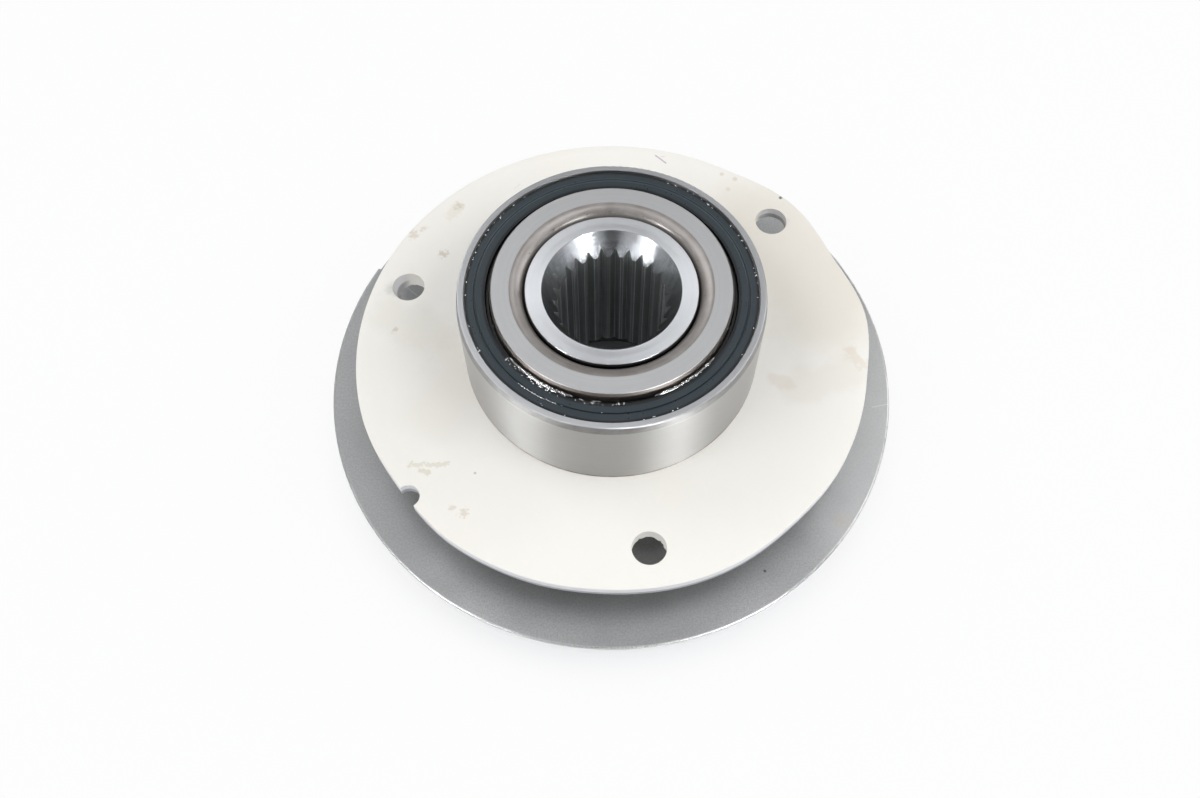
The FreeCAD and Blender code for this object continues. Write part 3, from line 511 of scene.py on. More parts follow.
@dataclass(frozen=True)
class SealRubber(Finish):
    """Smooth black rubber, a little wet with grease."""

    dry: tuple = (0.014, 0.021, 0.026)
    dusty: tuple = (0.030, 0.042, 0.051)
    # the wet colour is painted shade for the recesses at both lips
    wet: tuple = (0.003, 0.004, 0.005)
    inner_lip: float = 33.2 * MM
    outer_lip: float = 37.1 * MM
    groove: tuple = (34.8 * MM, 35.6 * MM)
    groove_highlight: tuple = (0.06, 0.075, 0.085)
    dot_scale: float = 1400.0
    dot_size: float = 0.35
    dot_share: float = 0.08

    def wire(self, w: Wiring) -> dict:
        """Slate black with an oily film, painted shade at both lips, a groove painted lighter at the rear,
        and a few wet dots.
        """
        axis = RoundTheAxis().place(w)
        # painted shade in the recesses at the inner and outer lips
        inner = w.fade(axis["Radius"], self.inner_lip + 0.3 * MM, self.inner_lip - 0.3 * MM)
        outer = w.fade(axis["Radius"], self.outer_lip - 0.3 * MM, self.outer_lip + 0.2 * MM)
        lips = w.maths("MAXIMUM", inner, outer)
        cloud = w.noise(axis["Place"], 120.0, 4.0)
        cells = w.put("ShaderNodeTexVoronoi", {"Vector": axis["Place"], "Scale": self.dot_scale}).outputs
        pick = w.put("ShaderNodeSeparateColor", {0: cells["Color"]}).outputs[0]
        spot = w.fade(w.maths("DIVIDE", cells["Distance"], self.dot_size), 0.5, 1.0, 1.0, 0.0)
        wet = w.maths("MULTIPLY", spot, w.maths("LESS_THAN", pick, self.dot_share))
        gloss = w.maths("SUBTRACT", w.fade(cloud, 0.3, 0.7, 0.42, 0.30), w.maths("MULTIPLY", wet, 0.18))
        height = w.maths("ADD", w.maths("MULTIPLY", w.noise(axis["Place"], 900.0, 2.0), 0.3), wet)
        # painted light: the groove is lighter on its rear half only
        behind = w.fade(w.maths("SINE", axis["Turn"]), -0.3, 0.5)
        groove = w.maths("MULTIPLY", w.band(axis["Radius"], *self.groove, 0.05 * MM), behind)
        face = w.tint(groove, w.tint(cloud, self.dry, self.dusty), self.groove_highlight)
        return {"Base Color": w.tint(lips, face, self.wet), "Roughness": gloss,
                "Normal": w.bump(height, 0.00006, 0.5)}


@dataclass(frozen=True)
class Grease(Finish):
    """Dark wet grease that glints."""

    def wire(self, w: Wiring) -> dict:
        """Nearly black and very smooth."""
        place = RoundTheAxis().place(w)["Place"]
        cloud = w.noise(place, 700.0, 3.0)
        return {"Base Color": w.tint(cloud, (0.010, 0.011, 0.012), (0.040, 0.040, 0.038)), "IOR": 2.0,
                "Specular IOR Level": 1.0, "Roughness": w.fade(cloud, 0.3, 0.7, 0.06, 0.14),
                "Normal": w.bump(cloud, 0.00012, 0.6)}


@dataclass(frozen=True)
class CloudedMirror(Finish):
    """A mirror-bright skin, as on polished balls and on small wet beads."""

    light: tuple
    dim: tuple
    scale: float
    smooth: float
    rough: float

    def wire(self, w: Wiring) -> dict:
        """Bright and smooth, a little clouded."""
        cloud = w.noise(RoundTheAxis().place(w)["Place"], self.scale, 3.0)
        return {"Base Color": w.tint(cloud, self.light, self.dim), "Metallic": 1.0,
                "Roughness": w.fade(cloud, 0.3, 0.7, self.smooth, self.rough)}


@dataclass(frozen=True)
class CageNylon(Finish):
    """Ivory moulded nylon, shiny with grease in places."""

    def wire(self, w: Wiring) -> dict:
        """Ivory with soft clouds."""
        place = RoundTheAxis().place(w)["Place"]
        cloud = w.noise(place, 160.0, 4.0)
        return {"Base Color": w.tint(cloud, (0.62, 0.57, 0.45), (0.50, 0.45, 0.34)),
                "Roughness": w.fade(cloud, 0.3, 0.7, 0.28, 0.45),
                "Normal": w.bump(w.noise(place, 1500.0, 2.0), 0.00002, 0.4)}


BEIGE = (0.66, 0.60, 0.50)
BEIGE_AND_SHADOW = (0.70, 0.66, 0.57)
RUST = (0.52, 0.34, 0.17)
BROWN = (0.42, 0.32, 0.20)
SOOT = (0.03, 0.03, 0.03)
PURPLE = (0.36, 0.27, 0.40)
CHALK = (0.75, 0.75, 0.75)
SHADOW_GREEN = (0.20, 0.21, 0.16)
SHADE = (0.10, 0.10, 0.10)
SIDE_SHADE = (0.22, 0.222, 0.224)
PAINTED_SHEEN = (0.64, 0.64, 0.635)
OLIVE = (0.46, 0.42, 0.24)


@dataclass(frozen=True)
class CreamPlastic(Finish):
    """Matt cream plastic plate, handled and stained."""

    cream: tuple = (0.838, 0.826, 0.788)
    yellowed: tuple = (0.825, 0.795, 0.73)
    # painted shade for the cut edge wall
    cut: tuple = (0.77, 0.76, 0.78)
    cut_shaded: tuple = (0.40, 0.40, 0.41)
    cut_light: float = 2.3 * MM
    cut_from: float = 61.0 * MM
    marks: tuple = (
        Mark(BEIGE, (46.0, 38.0), (60.0, 16.0), 26.0, 0.42, 0.25, 60.0),
        # a grey-beige stain with painted shadow of the bearing, left of it
        Mark(BEIGE_AND_SHADOW, (-46.0, -22.0), (-40.0, -4.0), 13.0, 0.20, 0.3, 90.0),
        Mark(RUST, (44.5, -11.0), (47.5, -12.0), 2.8, 0.14, 0.7, 260.0),
        Mark(RUST, (66.0, -2.0), (69.0, -6.0), 2.4, 0.20, 1.0, 500.0),
        Mark(BEIGE, (52.0, -13.0), (65.0, -9.0), 8.0, 0.22, 0.5, 120.0),
        *(stain(BROWN, *spot) for spot in (
            (-57.3, 35.7, 1.9, 0.35), (-54.5, 38.0, 1.3, 0.3), (-48.4, 29.2, 1.7, 0.45),
            (-59.9, 3.8, 1.0, 0.4), (-44.9, 46.1, 1.8, 0.35))),
        Mark(OLIVE, (-52.3, -37.0), (-42.7, -36.7), 0.9, 0.30, 1.5, 900.0),
        Mark(OLIVE, (-49.5, -38.6), (-47.5, -39.2), 0.9, 0.34, 1.4, 1100.0),
        Mark(OLIVE, (-62.0, 9.0), (-50.0, 3.0), 9.0, 0.10, 0.5, 150.0),
        Mark(OLIVE, (-45.2, 45.7), (-47.0, 43.0), 2.4, 0.16, 0.8, 500.0),
        dot(BROWN, -35.2, -39.2, 0.5, 0.6),
        stain(BROWN, -37.4, -50.4, 1.8, 0.3),
        stain(BROWN, -40.5, -49.0, 1.0, 0.3),
        *(dot(BROWN, *spot) for spot in (
            (32.4, 58.4, 0.9, 0.3), (36.2, 56.6, 1.1, 0.3), (34.0, 52.9, 1.0, 0.25))),
        dot(SOOT, 49.3, 49.9, 0.7),
        scratch(PURPLE, (12.8, 65.2), (15.8, 62.4), 0.34, 0.7),
        scratch(PURPLE, (14.4, 64.7), (15.6, 64.9), 0.20, 0.3),
        scratch(PURPLE, (-29.1, 52.4), (-27.4, 54.2), 0.20, 0.2),
        in_hole(SHADOW_GREEN, -61.5, 17.5, 4.2, 0.75),
        in_hole(SHADOW_GREEN, 50.3, 41.5, 3.4, 0.6),
    )

    def wire(self, w: Wiring) -> dict:
        """Faint clouds over cream, with stains, and painted shade on the cut edge wall, darker towards its
        foot.
        """
        axis = RoundTheAxis().place(w)
        cloud = w.noise(axis["Place"], 28.0, 4.0, 0.55)
        base = w.tint(w.fade(cloud, 0.35, 0.75, 0.0, 0.4), self.cream, self.yellowed)
        top = Level.COVER_TOP.value
        for mark in self.marks:
            base = mark.lay(w, base, top)
        # painted shade on the cut edge wall, darker again towards its foot
        below = w.fade(axis["Height"], top - 0.10 * MM, top - 0.25 * MM)
        wall = w.maths("MULTIPLY", below, w.fade(axis["Radius"], self.cut_from, self.cut_from + 2 * MM))
        line = top - self.cut_light
        edge = w.tint(w.fade(axis["Height"], line + 0.3 * MM, line - 0.3 * MM), self.cut, self.cut_shaded)
        base = w.tint(wall, base, edge)
        return {"Base Color": base, "Roughness": w.fade(cloud, 0.3, 0.7, 0.52, 0.62),
                "Normal": w.bump(w.noise(axis["Place"], 1800.0, 2.0), 0.00002, 0.4)}


SHIELD_MARKS = (
    scratch(CHALK, (74.5, -9.0), (79.2, -8.0), 0.20),
    scratch(CHALK, (-61.6, 30.1), (-58.4, 27.3), 0.20, 0.45),
    dot(SOOT, 41.5, -58.4, 0.6),
    stain(BROWN, 63.5, -43.6, 3.0, 0.3),
    Mark(SHADE, (-59.0, 28.5), (-57.0, 27.0), 5.5, 0.5, 0.3, 200.0),
    # painted shade darkening the left side of the sheet
    Mark(SIDE_SHADE, (-80.0, 52.0), (-62.0, -60.0), 26.0, 0.44, 0.2, 60.0),
    # painted sheen lightening the right side of the sheet towards the front
    Mark(PAINTED_SHEEN, (86.0, 6.0), (74.0, -44.0), 24.0, 0.42, 0.2, 60.0),
    Mark(SHADE, (9.0, -49.0), (11.0, -49.0), 5.5, 0.5, 0.3, 200.0),
)

HUB_STEEL = TurnedHubSteel("turned hub steel", "hub_steel")
RING_STEEL = GroundRingSteel("ground ring steel", "ring_steel")
OUTER_STEEL = OuterRingSteel("ground outer ring steel", "ring_steel")
SHIELD_STEEL = SatinSheetSteel("satin shield steel", "shield_steel", marks=SHIELD_MARKS)
CORE_STEEL = SatinSheetSteel("bright sheet steel", "sheet_steel", tone=(0.55, 0.55, 0.55),
                             shaded=(0.5, 0.5, 0.5))
SEAL_RUBBER = SealRubber("seal rubber", "seal_rubber")
GREASE = Grease("wet grease", "seal_rubber")
GLINT = CloudedMirror("wet glint", "seal_rubber", (0.97, 0.97, 0.98), (0.70, 0.70, 0.72), 900.0, 0.10, 0.25)
BALL_STEEL = CloudedMirror("polished ball steel", "ball_steel", (0.66, 0.65, 0.63), (0.58, 0.57, 0.56),
                           300.0, 0.05, 0.10)
CAGE_NYLON = CageNylon("cage nylon", "cage_nylon")
CREAM_PLASTIC = CreamPlastic("cream plastic", "cover_plastic")


def clear_bench() -> None:
    """Unpicks all objects."""
    bpy.ops.object.select_all(action="DESELECT")


class Workpiece:
    """A mesh on the bench. Each operator changes only what was picked."""

    def __init__(self, name: str) -> None:
        """Takes the primitive that was just added, and puts its place in its mesh."""
        self.piece = bpy.context.object
        self.piece.name = name
        self.piece.data.name = name
        bpy.ops.object.transform_apply(location=True, rotation=True, scale=True)

    def edit(self) -> None:
        """Opens the mesh with everything picked."""
        bpy.ops.object.mode_set(mode="EDIT")
        bpy.ops.mesh.select_all(action="SELECT")

    def close(self) -> None:
        """Closes the mesh."""
        bpy.ops.object.mode_set(mode="OBJECT")

    def pick(self, test: Callable[[Vector], bool], kind: str = "VERT") -> None:
        """Picks vertices, edges or faces.

        Args:
            test: says whether a vertex at a place belongs to the pick.
            kind: VERT, EDGE or FACE. An edge or face needs all its vertices.
        """
        bpy.ops.mesh.select_mode(type=kind)
        bpy.ops.mesh.select_all(action="DESELECT")
        mesh = bmesh.from_edit_mesh(self.piece.data)
        items = {"VERT": mesh.verts, "EDGE": mesh.edges, "FACE": mesh.faces}[kind]
        for item in items:
            spots = [item.co] if kind == "VERT" else [vertex.co for vertex in item.verts]
            item.select_set(all(test(spot) for spot in spots))
        bmesh.update_edit_mesh(self.piece.data)

    def extrude(self, shift: tuple = (0.0, 0.0, 0.0)) -> None:
        """Extrudes the pick and moves what is new."""
        bpy.ops.mesh.extrude_region_move(TRANSFORM_OT_translate={"value": shift})

    def scale(self, factors: tuple, centre: tuple) -> None:
        """Scales the pick about a centre."""
        bpy.ops.transform.resize(value=factors, center_override=centre)

    def finish(self, kind: str, **settings) -> None:
        """Adds a modifier and applies it."""
        modifier = self.piece.modifiers.new(kind.lower(), kind)
        for name, setting in settings.items():
            setattr(modifier, name, setting)
        clear_bench()
        bpy.context.view_layer.objects.active = self.piece
        self.piece.select_set(True)
        bpy.ops.object.modifier_apply(modifier=modifier.name)

    def mount(self, body: str, finish: Finish) -> None:
        """Dresses the piece and lets it ride on a body."""
        finish.dress(self.piece)
        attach(self.piece, body)
        LOG.info("%s: %s", self.piece.name, finish.name)


def azimuth_of(place: Vector) -> float:
    """Returns the azimuth of a place round the bearing axis, in degrees."""
    return math.degrees(math.atan2(place.y, place.x))


def at_azimuth(azimuth: float, radius: float, level: float) -> tuple[float, float, float]:
    """Returns the place at an azimuth in degrees, a radius and a level."""
    turn = math.radians(azimuth)
    return (radius * math.cos(turn), radius * math.sin(turn), level)


@dataclass(frozen=True)
class DrilledHole:
    """A hole drilled by hand through the cover disc. Lengths are in millimetres."""

    azimuth: float
    radius: float
    entry_dia: float = 9.0
    exit_dia: float = 9.0
    lean: tuple = (0.0, 0.0)
    ragged: float = 0.12
    seed: int = 1


@dataclass
class CoverDisc:
    """The cream plate round the bearing, cut out by hand and drilled four times."""

    facets: int = 192
    ring_shares: tuple = (0.12, 0.3, 0.5, 0.7, 0.88, 1.0)
    seat_depth: float = 0.45 * MM
    cut_back: float = 0.6 * MM
    rim_zone: float = 4.0 * MM
    rim_pushes: tuple = ((44.0, 1.9, 24.0), (10.0, 1.7, 22.0), (-47.0, -0.7, 24.0), (-142.0, -0.9, 24.0),
                         (-94.0, -0.6, 30.0), (-115.0, -0.3, 20.0))
    top_edge: float = 0.18 * MM
    under_edge: float = 0.5 * MM
    hole_facets: int = 44
    tear_height: float = 1.2 * MM
    overrun: float = 1.0 * MM
    holes: tuple = (
        DrilledHole(162.6, 60.1, exit_dia=7.6, lean=(1.0, -0.5), ragged=0.35, seed=4),
        DrilledHole(42.0, 62.0, ragged=0.10, seed=2),
        DrilledHole(-80.4, 60.3, ragged=0.55, seed=7),
        DrilledHole(-138.7, 69.5, entry_dia=6.2, exit_dia=6.2, ragged=0.15, seed=5),
    )

    def build(self) -> None:
        """Models the plate and puts it in the place of the plain one."""
        low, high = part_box("cover_disc")
        plate = self.cut_out(low, high)
        for hole in self.holes:
            self.drill(plate, hole)
        bpy.ops.object.shade_smooth_by_angle(angle=math.radians(32.0))
        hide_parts("cover_disc")
        plate.mount("outer_ring_set", CREAM_PLASTIC)

    def cut_out(self, low: Vector, high: Vector) -> Workpiece:
        """Cuts out the plate.

        Args:
            low: lowest corner of the plain plate.
            high: highest corner of the plain plate.

        Returns:
            The plate before drilling, with its rim out of true.
        """
        bore = Reach.BEARING.value - self.seat_depth
        rim = high.x - self.cut_back
        clear_bench()
        bpy.ops.mesh.primitive_circle_add(vertices=self.facets, radius=bore, location=(0.0, 0.0, high.z))
        plate = Workpiece("cover_plate")
        plate.edit()
        reached = bore
        for share in self.ring_shares:
            radius = bore + (rim - bore) * share
            plate.extrude()
            plate.scale((radius / reached, radius / reached, 1.0), (0.0, 0.0, high.z))
            reached = radius
        bpy.ops.transform.translate(value=(0.0, (low.y + high.y) / 2, 0.0))
        for azimuth, push, reach in self.rim_pushes:
            self.push_rim(plate, azimuth, push * MM, reach * MM)
        plate.close()
        plate.finish("SOLIDIFY", thickness=high.z - low.z, offset=-1.0)
        plate.edit()
        middle = (low.z + high.z) / 2
        edge = rim - self.rim_zone
        for side, width in ((1, self.top_edge), (-1, self.under_edge)):
            plate.pick(lambda spot: (spot.z - middle) * side > 0 and spot.xy.length > edge, "EDGE")
            bpy.ops.mesh.bevel(offset=width, segments=3, profile=0.5, affect="EDGES")
        plate.close()
        return plate

    def push_rim(self, plate: Workpiece, azimuth: float, push: float, reach: float) -> None:
        """Pushes the rim out or in round one azimuth."""
        mesh = bmesh.from_edit_mesh(plate.piece.data)
        away = Vector(at_azimuth(azimuth, 1.0, 0.0))
        tip = max(mesh.verts, key=lambda vertex: vertex.co.x * away.x + vertex.co.y * away.y)
        place = tip.co.copy()
        plate.pick(lambda spot: (spot - place).length < 0.01 * MM)
        bpy.ops.transform.translate(value=tuple(away * push), use_proportional_edit=True,
                                    proportional_edit_falloff="SMOOTH", proportional_size=reach)

    def drill(self, plate: Workpiece, hole: DrilledHole) -> None:
        """Cuts one hole, clean at the top and torn where the drill came out."""
        low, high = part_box("cover_disc")
        x, y, top = at_azimuth(hole.azimuth, hole.radius * MM, high.z)
        tear = low.z + self.tear_height
        clear_bench()
        bpy.ops.mesh.primitive_circle_add(vertices=self.hole_facets, radius=hole.entry_dia / 2 * MM,
                                          fill_type="NGON", location=(x, y, top + self.overrun))
        bit = Workpiece("drill")
        bit.edit()
        centre, size, level, done = (x, y, top), hole.entry_dia, top + self.overrun, 0.0
        for next_level in (top, tear, low.z, low.z - self.overrun):
            share = min(max((top - next_level) / (top - low.z), 0.0), 1.0)
            next_size = hole.entry_dia + (hole.exit_dia - hole.entry_dia) * share
            bit.extrude((0.0, 0.0, next_level - level))
            bit.scale((next_size / size, next_size / size, 1.0), centre)
            if next_level == low.z:
                bpy.ops.transform.vertex_random(offset=hole.ragged * MM, seed=hole.seed)
                bit.scale((1.0, 1.0, 0.0), (x, y, low.z))
            shift = [lean * ((share - done) * MM) for lean in hole.lean]
            bpy.ops.transform.translate(value=(*shift, 0.0))
            centre = (centre[0] + shift[0], centre[1] + shift[1], next_level)
            size, level, done = next_size, next_level, share
        bpy.ops.mesh.select_all(action="SELECT")
        bpy.ops.mesh.normals_make_consistent(inside=False)
        bit.close()
        plate.finish("BOOLEAN", operation="DIFFERENCE", solver="EXACT", object=bit.piece)
        bpy.data.objects.remove(bit.piece)


@dataclass(frozen=True)
class GreaseRun:
    """A stretch of squeezed-out grease. Azimuths in degrees, lengths in millimetres."""

    name: str
    start: float
    end: float
    radius: float = 31.93
    level: float = 65.65
    thickness: float = 0.52
    seed: int = 1


@dataclass(frozen=True)
class BeadField:
    """Beads of grease strewn over a stretch. Azimuths in degrees, lengths in millimetres."""

    start: float
    end: float
    count: int
    inner: float = 37.15
    outer: float = 37.55
    level: float = 65.85
    largest: float = 1.1


@dataclass
class GreaseTrail:
    """Grease that came out past the sealing lip, and beads of it along the seal."""

    segments: int = 480
    thin_segments: float = 1.5
    thin_share: float = 0.35
    unevenness: float = 0.24 * MM
    bead_radius: float = 0.22 * MM
    seed: int = 12
    fields: tuple = (
        BeadField(-136.0, -110.0, 95, 31.7, 32.5, 66.1, 1.2),
        BeadField(-143.0, -104.0, 26, 32.3, 33.2, 65.9, 0.9),
        BeadField(-104.0, -84.0, 14, 31.9, 32.9, 65.95, 0.9),
        BeadField(-68.0, -41.0, 70, 31.7, 32.4, 66.1, 1.0),
        BeadField(-130.0, -112.0, 30, 35.1, 35.35, 65.75, 0.8),
        BeadField(118.0, 172.0, 16), BeadField(20.0, 68.0, 20), BeadField(-30.0, 12.0, 8),
        BeadField(-78.0, -60.0, 5), BeadField(-184.0, -145.0, 6),
        BeadField(-120.0, -80.0, 6, 34.0, 37.5, 65.85, 0.7),
    )
    runs: tuple = (
        GreaseRun("grease_front_left", -143.0, -106.0, seed=3),
        GreaseRun("grease_bead_left", -104.5, -101.5, seed=4),
        GreaseRun("grease_bead_middle", -98.5, -94.0, thickness=0.40, seed=5),
        GreaseRun("grease_bead_right", -88.0, -84.5, thickness=0.40, seed=6),
        GreaseRun("grease_front_right", -71.0, -36.0, thickness=0.44, seed=7),
        GreaseRun("grease_groove_left", -129.0, -113.0, radius=35.2, level=65.6, thickness=0.22, seed=8),
    )

    def build(self) -> None:
        """Models each stretch, and the beads."""
        for run in self.runs:
            self.squeeze_out(run)
        self.scatter_beads()

    def scatter_beads(self) -> None:
        """Models one flat bead and strews copies of it over the fields."""
        clear_bench()
        bpy.ops.mesh.primitive_ico_sphere_add(subdivisions=2, radius=self.bead_radius)
        bead = Workpiece("grease_beads")
        bead.edit()
        bead.scale((1.0, 1.0, 0.6), (0.0, 0.0, 0.0))
        bpy.ops.transform.vertex_random(offset=self.bead_radius * 0.25, seed=self.seed)
        bead.close()
        bpy.ops.object.shade_smooth()
        draw = random.Random(self.seed)
        copies = []
        for field in self.fields:
            for _ in range(field.count):
                copy = bead.piece.copy()
                copy.data = bead.piece.data.copy()
                bpy.context.collection.objects.link(copy)
                radius = draw.uniform(field.inner, field.outer) * MM
                place = at_azimuth(draw.uniform(field.start, field.end), radius, field.level * MM)
                size = draw.uniform(0.4, field.largest)
                turn = Matrix.Rotation(draw.uniform(0.0, math.tau), 4, "Z")
                copy.data.transform(Matrix.Translation(place) @ turn @ Matrix.Scale(size, 4))
                copies.append(copy)
        bpy.data.objects.remove(bead.piece)
        for copy in copies:
            copy.select_set(True)
        bpy.context.view_layer.objects.active = copies[0]
        bpy.ops.object.join()
        Workpiece("grease_beads").mount("outer_ring_set", GLINT)

    def squeeze_out(self, run: GreaseRun) -> None:
        """Cuts a stretch from a ring, closes and thins its ends and makes it lumpy."""
        clear_bench()
        bpy.ops.mesh.primitive_torus_add(major_segments=self.segments, minor_segments=10,
                                         major_radius=run.radius * MM, minor_radius=run.thickness * MM,
                                         location=(0.0, 0.0, run.level * MM))
        rope = Workpiece(run.name)
        rope.edit()
        rope.pick(lambda spot: not run.start <= azimuth_of(spot) <= run.end)
        bpy.ops.mesh.delete(type="VERT")
        bpy.ops.mesh.select_all(action="SELECT")
        bpy.ops.mesh.fill_holes(sides=0)
        reach = self.thin_segments * 360.0 / self.segments
        for azimuth in (run.start, run.end):
            rope.pick(lambda spot: abs(azimuth_of(spot) - azimuth) < reach)
            rope.scale((self.thin_share,) * 3, at_azimuth(azimuth, run.radius * MM, run.level * MM))
        bpy.ops.mesh.select_all(action="SELECT")
        lumps = self.unevenness * run.thickness / GreaseRun.thickness
        bpy.ops.transform.vertex_random(offset=lumps, seed=run.seed)
        bpy.ops.mesh.vertices_smooth(factor=0.5, repeat=1)
        bpy.ops.mesh.normals_make_consistent(inside=False)
        rope.close()
        rope.finish("SUBSURF", levels=1, render_levels=1)
        bpy.ops.object.shade_smooth()
        rope.mount("outer_ring_set", GREASE)


@dataclass(frozen=True)
class Window:
    """A soft white window that shiny faces reflect. Angles are in degrees."""

    azimuth: float
    elevation: float
    reach: float
    glow: float


@dataclass(frozen=True)
class SoftBox:
    """A lamp with a square white face, turned to the object. Angles are in degrees."""

    name: str
    azimuth: float
    elevation: float
    distance: float
    share: float
    in_gloss: bool


@dataclass
class Studio:
    """White table, plain soft light and the camera."""

    camera_place: tuple = (0.0, -0.16784, 0.32956)
    camera_pitch: float = 62.6
    camera_yaw: float = 1.1
    camera_roll: float = 0.48
    camera_lens: float = 36.57
    floor_radius: float = 4.0
    floor_glow: float = 0.95
    contact_start: float = 0.050
    contact_end: float = 0.090
    low_fill: float = 0.12
    high_fill: float = 0.52
    dark_middle: float = 0.10
    bright_side: float = 0.54
    lamp_side: float = 0.75
    lamp_power: float = 5.2
    light_front: float = 0.32
    windows: tuple = (Window(180.0, 71.0, 14.0, 2.1), Window(0.0, 71.0, 14.0, 3.1),
                      Window(122.0, 50.0, 10.0, 3.2), Window(58.0, 50.0, 10.0, 3.0),
                      Window(194.0, 57.0, 10.0, 1.9), Window(349.0, 57.0, 10.0, 2.0),
                      Window(313.0, 3.0, 9.0, 1.6), Window(226.0, 3.0, 9.0, 1.6),
                      Window(-142.0, 13.0, 7.0, 52.0), Window(-52.0, 13.0, 8.0, 50.0))
    boxes: tuple = (SoftBox("front left soft box", -150.0, 50.0, 1.3, 0.95, False),
                    SoftBox("front right soft box", -26.0, 50.0, 1.3, 1.1, False),
                    SoftBox("rear left soft box", 150.0, 45.0, 1.5, 0.7, True),
                    SoftBox("rear right soft box", 20.0, 28.0, 1.3, 0.7, True))

    def build(self) -> None:
        """Makes the camera, the world, the floor and the lamps."""
        self.build_camera()
        self.build_world()
        self.build_floor()
        self.build_lamps()

    def build_camera(self) -> None:
        """Places the camera at the measured viewing angle."""
        angles = (self.camera_pitch, self.camera_yaw, self.camera_roll)
        pitch, yaw, roll = (math.radians(angle) for angle in angles)
        turn = Matrix.Rotation(yaw, 3, "Z")
        ahead = turn @ Vector((0.0, math.cos(pitch), -math.sin(pitch)))
        up = turn @ Vector((0.0, math.sin(pitch), math.cos(pitch)))
        right = turn @ Vector((1.0, 0.0, 0.0))
        across = math.cos(roll) * right - math.sin(roll) * up
        upright = math.sin(roll) * right + math.cos(roll) * up
        data = bpy.data.cameras.new("camera")
        data.lens = self.camera_lens
        data.sensor_width = 36.0
        data.clip_start = 0.01
        camera = bpy.data.objects.new("camera", data)
        bpy.context.collection.objects.link(camera)
        place = Matrix((across, upright, -ahead)).transposed().to_4x4()
        place.translation = self.camera_place
        camera.matrix_world = place
        bpy.context.scene.camera = camera

    def window_share(self, w: Wiring, direction: Socket, window: Window) -> Socket:
        """Returns one inside a window and zero outside it, with a soft edge."""
        rise = math.radians(window.elevation)
        middle = at_azimuth(window.azimuth, math.cos(rise), math.sin(rise))
        nearness = w.vector("DOT_PRODUCT", direction, middle)
        outer, inner = (math.cos(math.radians(window.reach * share)) for share in (1.12, 0.88))
        return w.fade(nearness, outer, inner)

    def build_world(self) -> None:
        """Lights the object plainly. The camera sees white, and gloss sees windows round a dark middle."""
        world = bpy.data.worlds.new("studio")
        world.use_nodes = True
        world.cycles.sampling_method = "NONE"
        bpy.context.scene.world = world
        w = Wiring(world.node_tree)
        rays = w.put("ShaderNodeLightPath").outputs
        direction = w.vector("NORMALIZE", w.put("ShaderNodeTexCoord").outputs["Generated"])
        parts = w.put("ShaderNodeSeparateXYZ", {0: direction}).outputs
        aside = w.maths("ABSOLUTE", parts[0])
        overhead = w.maths("MULTIPLY", w.fade(parts[1], 0.34, 0.02), w.fade(parts[2], 0.35, 0.65))
        middle = w.fade(overhead, 0.0, 1.0, self.dark_middle, self.light_front)
        ceiling = w.fade(aside, 0.12, 0.50, middle, self.bright_side)
        for window in self.windows:
            share = self.window_share(w, direction, window)
            ceiling = w.maths("MAXIMUM", ceiling, w.maths("MULTIPLY", share, window.glow))
        plain = w.fade(parts[2], 0.0, 0.6, self.low_fill, self.high_fill)
        fill = w.put("ShaderNodeBackground", {"Color": (1.0, 1.0, 1.0), "Strength": plain})
        gloss = w.put("ShaderNodeBackground", {"Color": (0.97, 0.985, 1.0), "Strength": ceiling})
        white = w.put("ShaderNodeBackground", {"Color": (0.985, 0.985, 0.985), "Strength": 1.0})
        shiny = w.maths("MAXIMUM", rays["Is Glossy Ray"], rays["Is Transmission Ray"])
        lit = w.put("ShaderNodeMixShader", {0: shiny, 1: fill.outputs[0], 2: gloss.outputs[0]})
        shares = {0: rays["Is Camera Ray"], 1: lit.outputs[0], 2: white.outputs[0]}
        seen = w.put("ShaderNodeMixShader", shares)
        w.put("ShaderNodeOutputWorld", {"Surface": seen.outputs[0]})

    def build_floor(self) -> None:
        """Makes a round white table top that keeps the object's shadow."""
        clear_bench()
        bpy.ops.mesh.primitive_circle_add(vertices=96, radius=self.floor_radius, fill_type="NGON")
        floor = bpy.context.object
        floor.name = "table"
        material = bpy.data.materials.new("white table")
        material.use_nodes = True
        w = Wiring(material.node_tree)
        rays = w.put("ShaderNodeLightPath").outputs
        paint = w.put("ShaderNodeBsdfDiffuse", {"Color": (0.87, 0.90, 0.94)})
        glow = w.put("ShaderNodeEmission", {"Color": (0.985, 0.985, 0.985), "Strength": 1.0})
        away = w.vector("LENGTH", w.put("ShaderNodeTexCoord").outputs["Object"])
        shiny = w.maths("MAXIMUM", rays["Is Glossy Ray"], rays["Is Transmission Ray"])
        seen = w.maths("MAXIMUM", rays["Is Camera Ray"], shiny)
        open_share = w.fade(away, self.contact_start, self.contact_end, 0.0, self.floor_glow)
        share = w.maths("MULTIPLY", seen, open_share)
        mixed = w.put("ShaderNodeMixShader", {0: share, 1: paint.outputs[0], 2: glow.outputs[0]})
        w.put("ShaderNodeOutputMaterial", {"Surface": mixed.outputs[0]})
        floor.data.materials.append(material)

    def build_lamps(self) -> None:
        """Hangs two soft boxes in front, which gloss doesn't show, and a weaker pair behind."""
        for box in self.boxes:
            data = bpy.data.lights.new(box.name, "AREA")
            data.energy = self.lamp_power * box.share
            data.size = self.lamp_side
            lamp = bpy.data.objects.new(box.name, data)
            bpy.context.collection.objects.link(lamp)
            rise = math.radians(box.elevation)
            place = box.distance * Vector(at_azimuth(box.azimuth, math.cos(rise), math.sin(rise)))
            lamp.location = place
            lamp.rotation_euler = (-place).to_track_quat("-Z", "Y").to_euler()
            lamp.visible_glossy = box.in_gloss


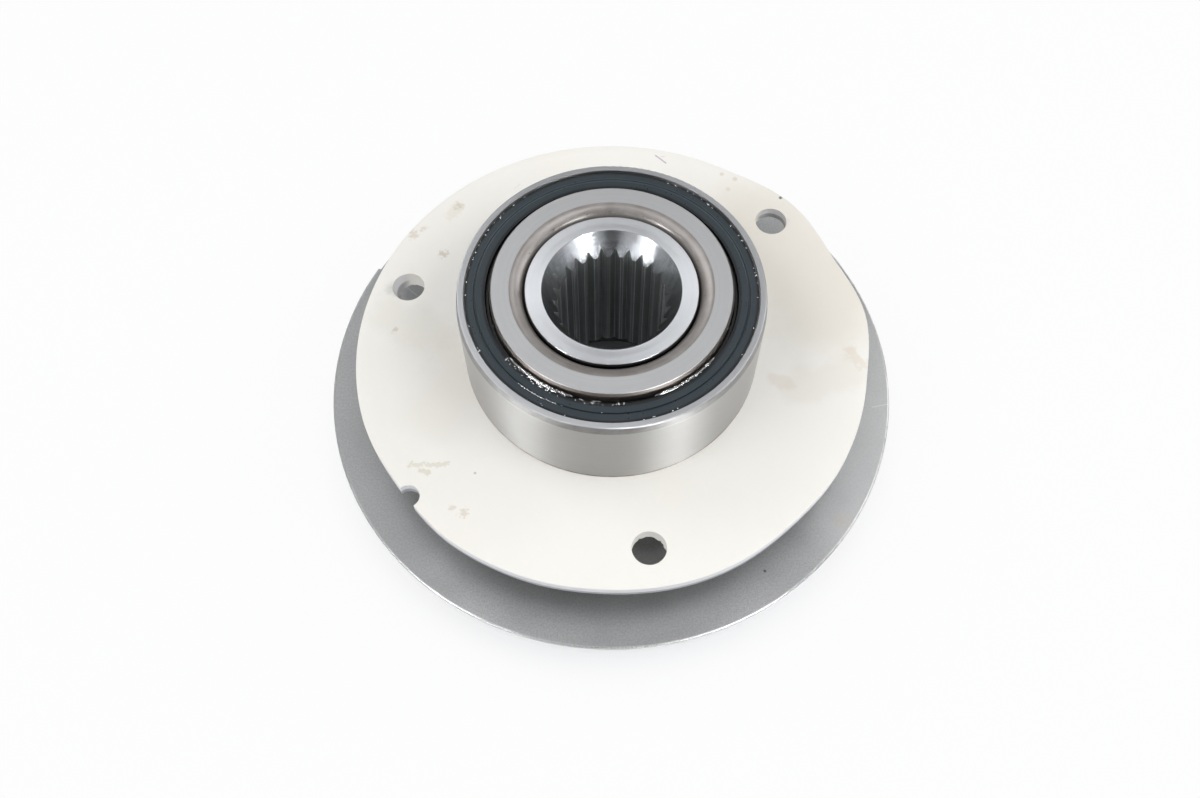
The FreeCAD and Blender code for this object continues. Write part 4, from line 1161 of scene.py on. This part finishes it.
@dataclass
class PackedParts:
    """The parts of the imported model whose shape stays."""

    rows: tuple = ("inboard", "outboard")

    def finishes(self) -> dict[str, Finish]:
        """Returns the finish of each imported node."""
        found = {"wheel_hub": HUB_STEEL, "outer_ring": OUTER_STEEL, "inner_ring_clip": CORE_STEEL,
                 "cover_disc": CREAM_PLASTIC, "dust_shield": SHIELD_STEEL}
        for row in self.rows:
            found["inner_ring_" + row] = RING_STEEL
            found["seal_core_" + row] = CORE_STEEL
            found["seal_" + row] = SEAL_RUBBER
            found["cage_" + row] = CAGE_NYLON
        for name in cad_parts:
            if name.startswith("ball_"):
                found[name] = BALL_STEEL
        return found

    def dress(self) -> None:
        """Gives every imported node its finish."""
        for name, finish in self.finishes().items():
            finish.dress(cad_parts[name])
            LOG.info("%s: %s", name, finish.name)


def main() -> None:
    """Builds the studio and dresses the object, piece by piece."""
    logging.basicConfig(level=logging.INFO, format="%(message)s")
    bpy.context.scene.view_settings.view_transform = "Standard"
    Studio().build()
    PackedParts().dress()
    CoverDisc().build()
    GreaseTrail().build()


if __name__ == "__main__":
    main()
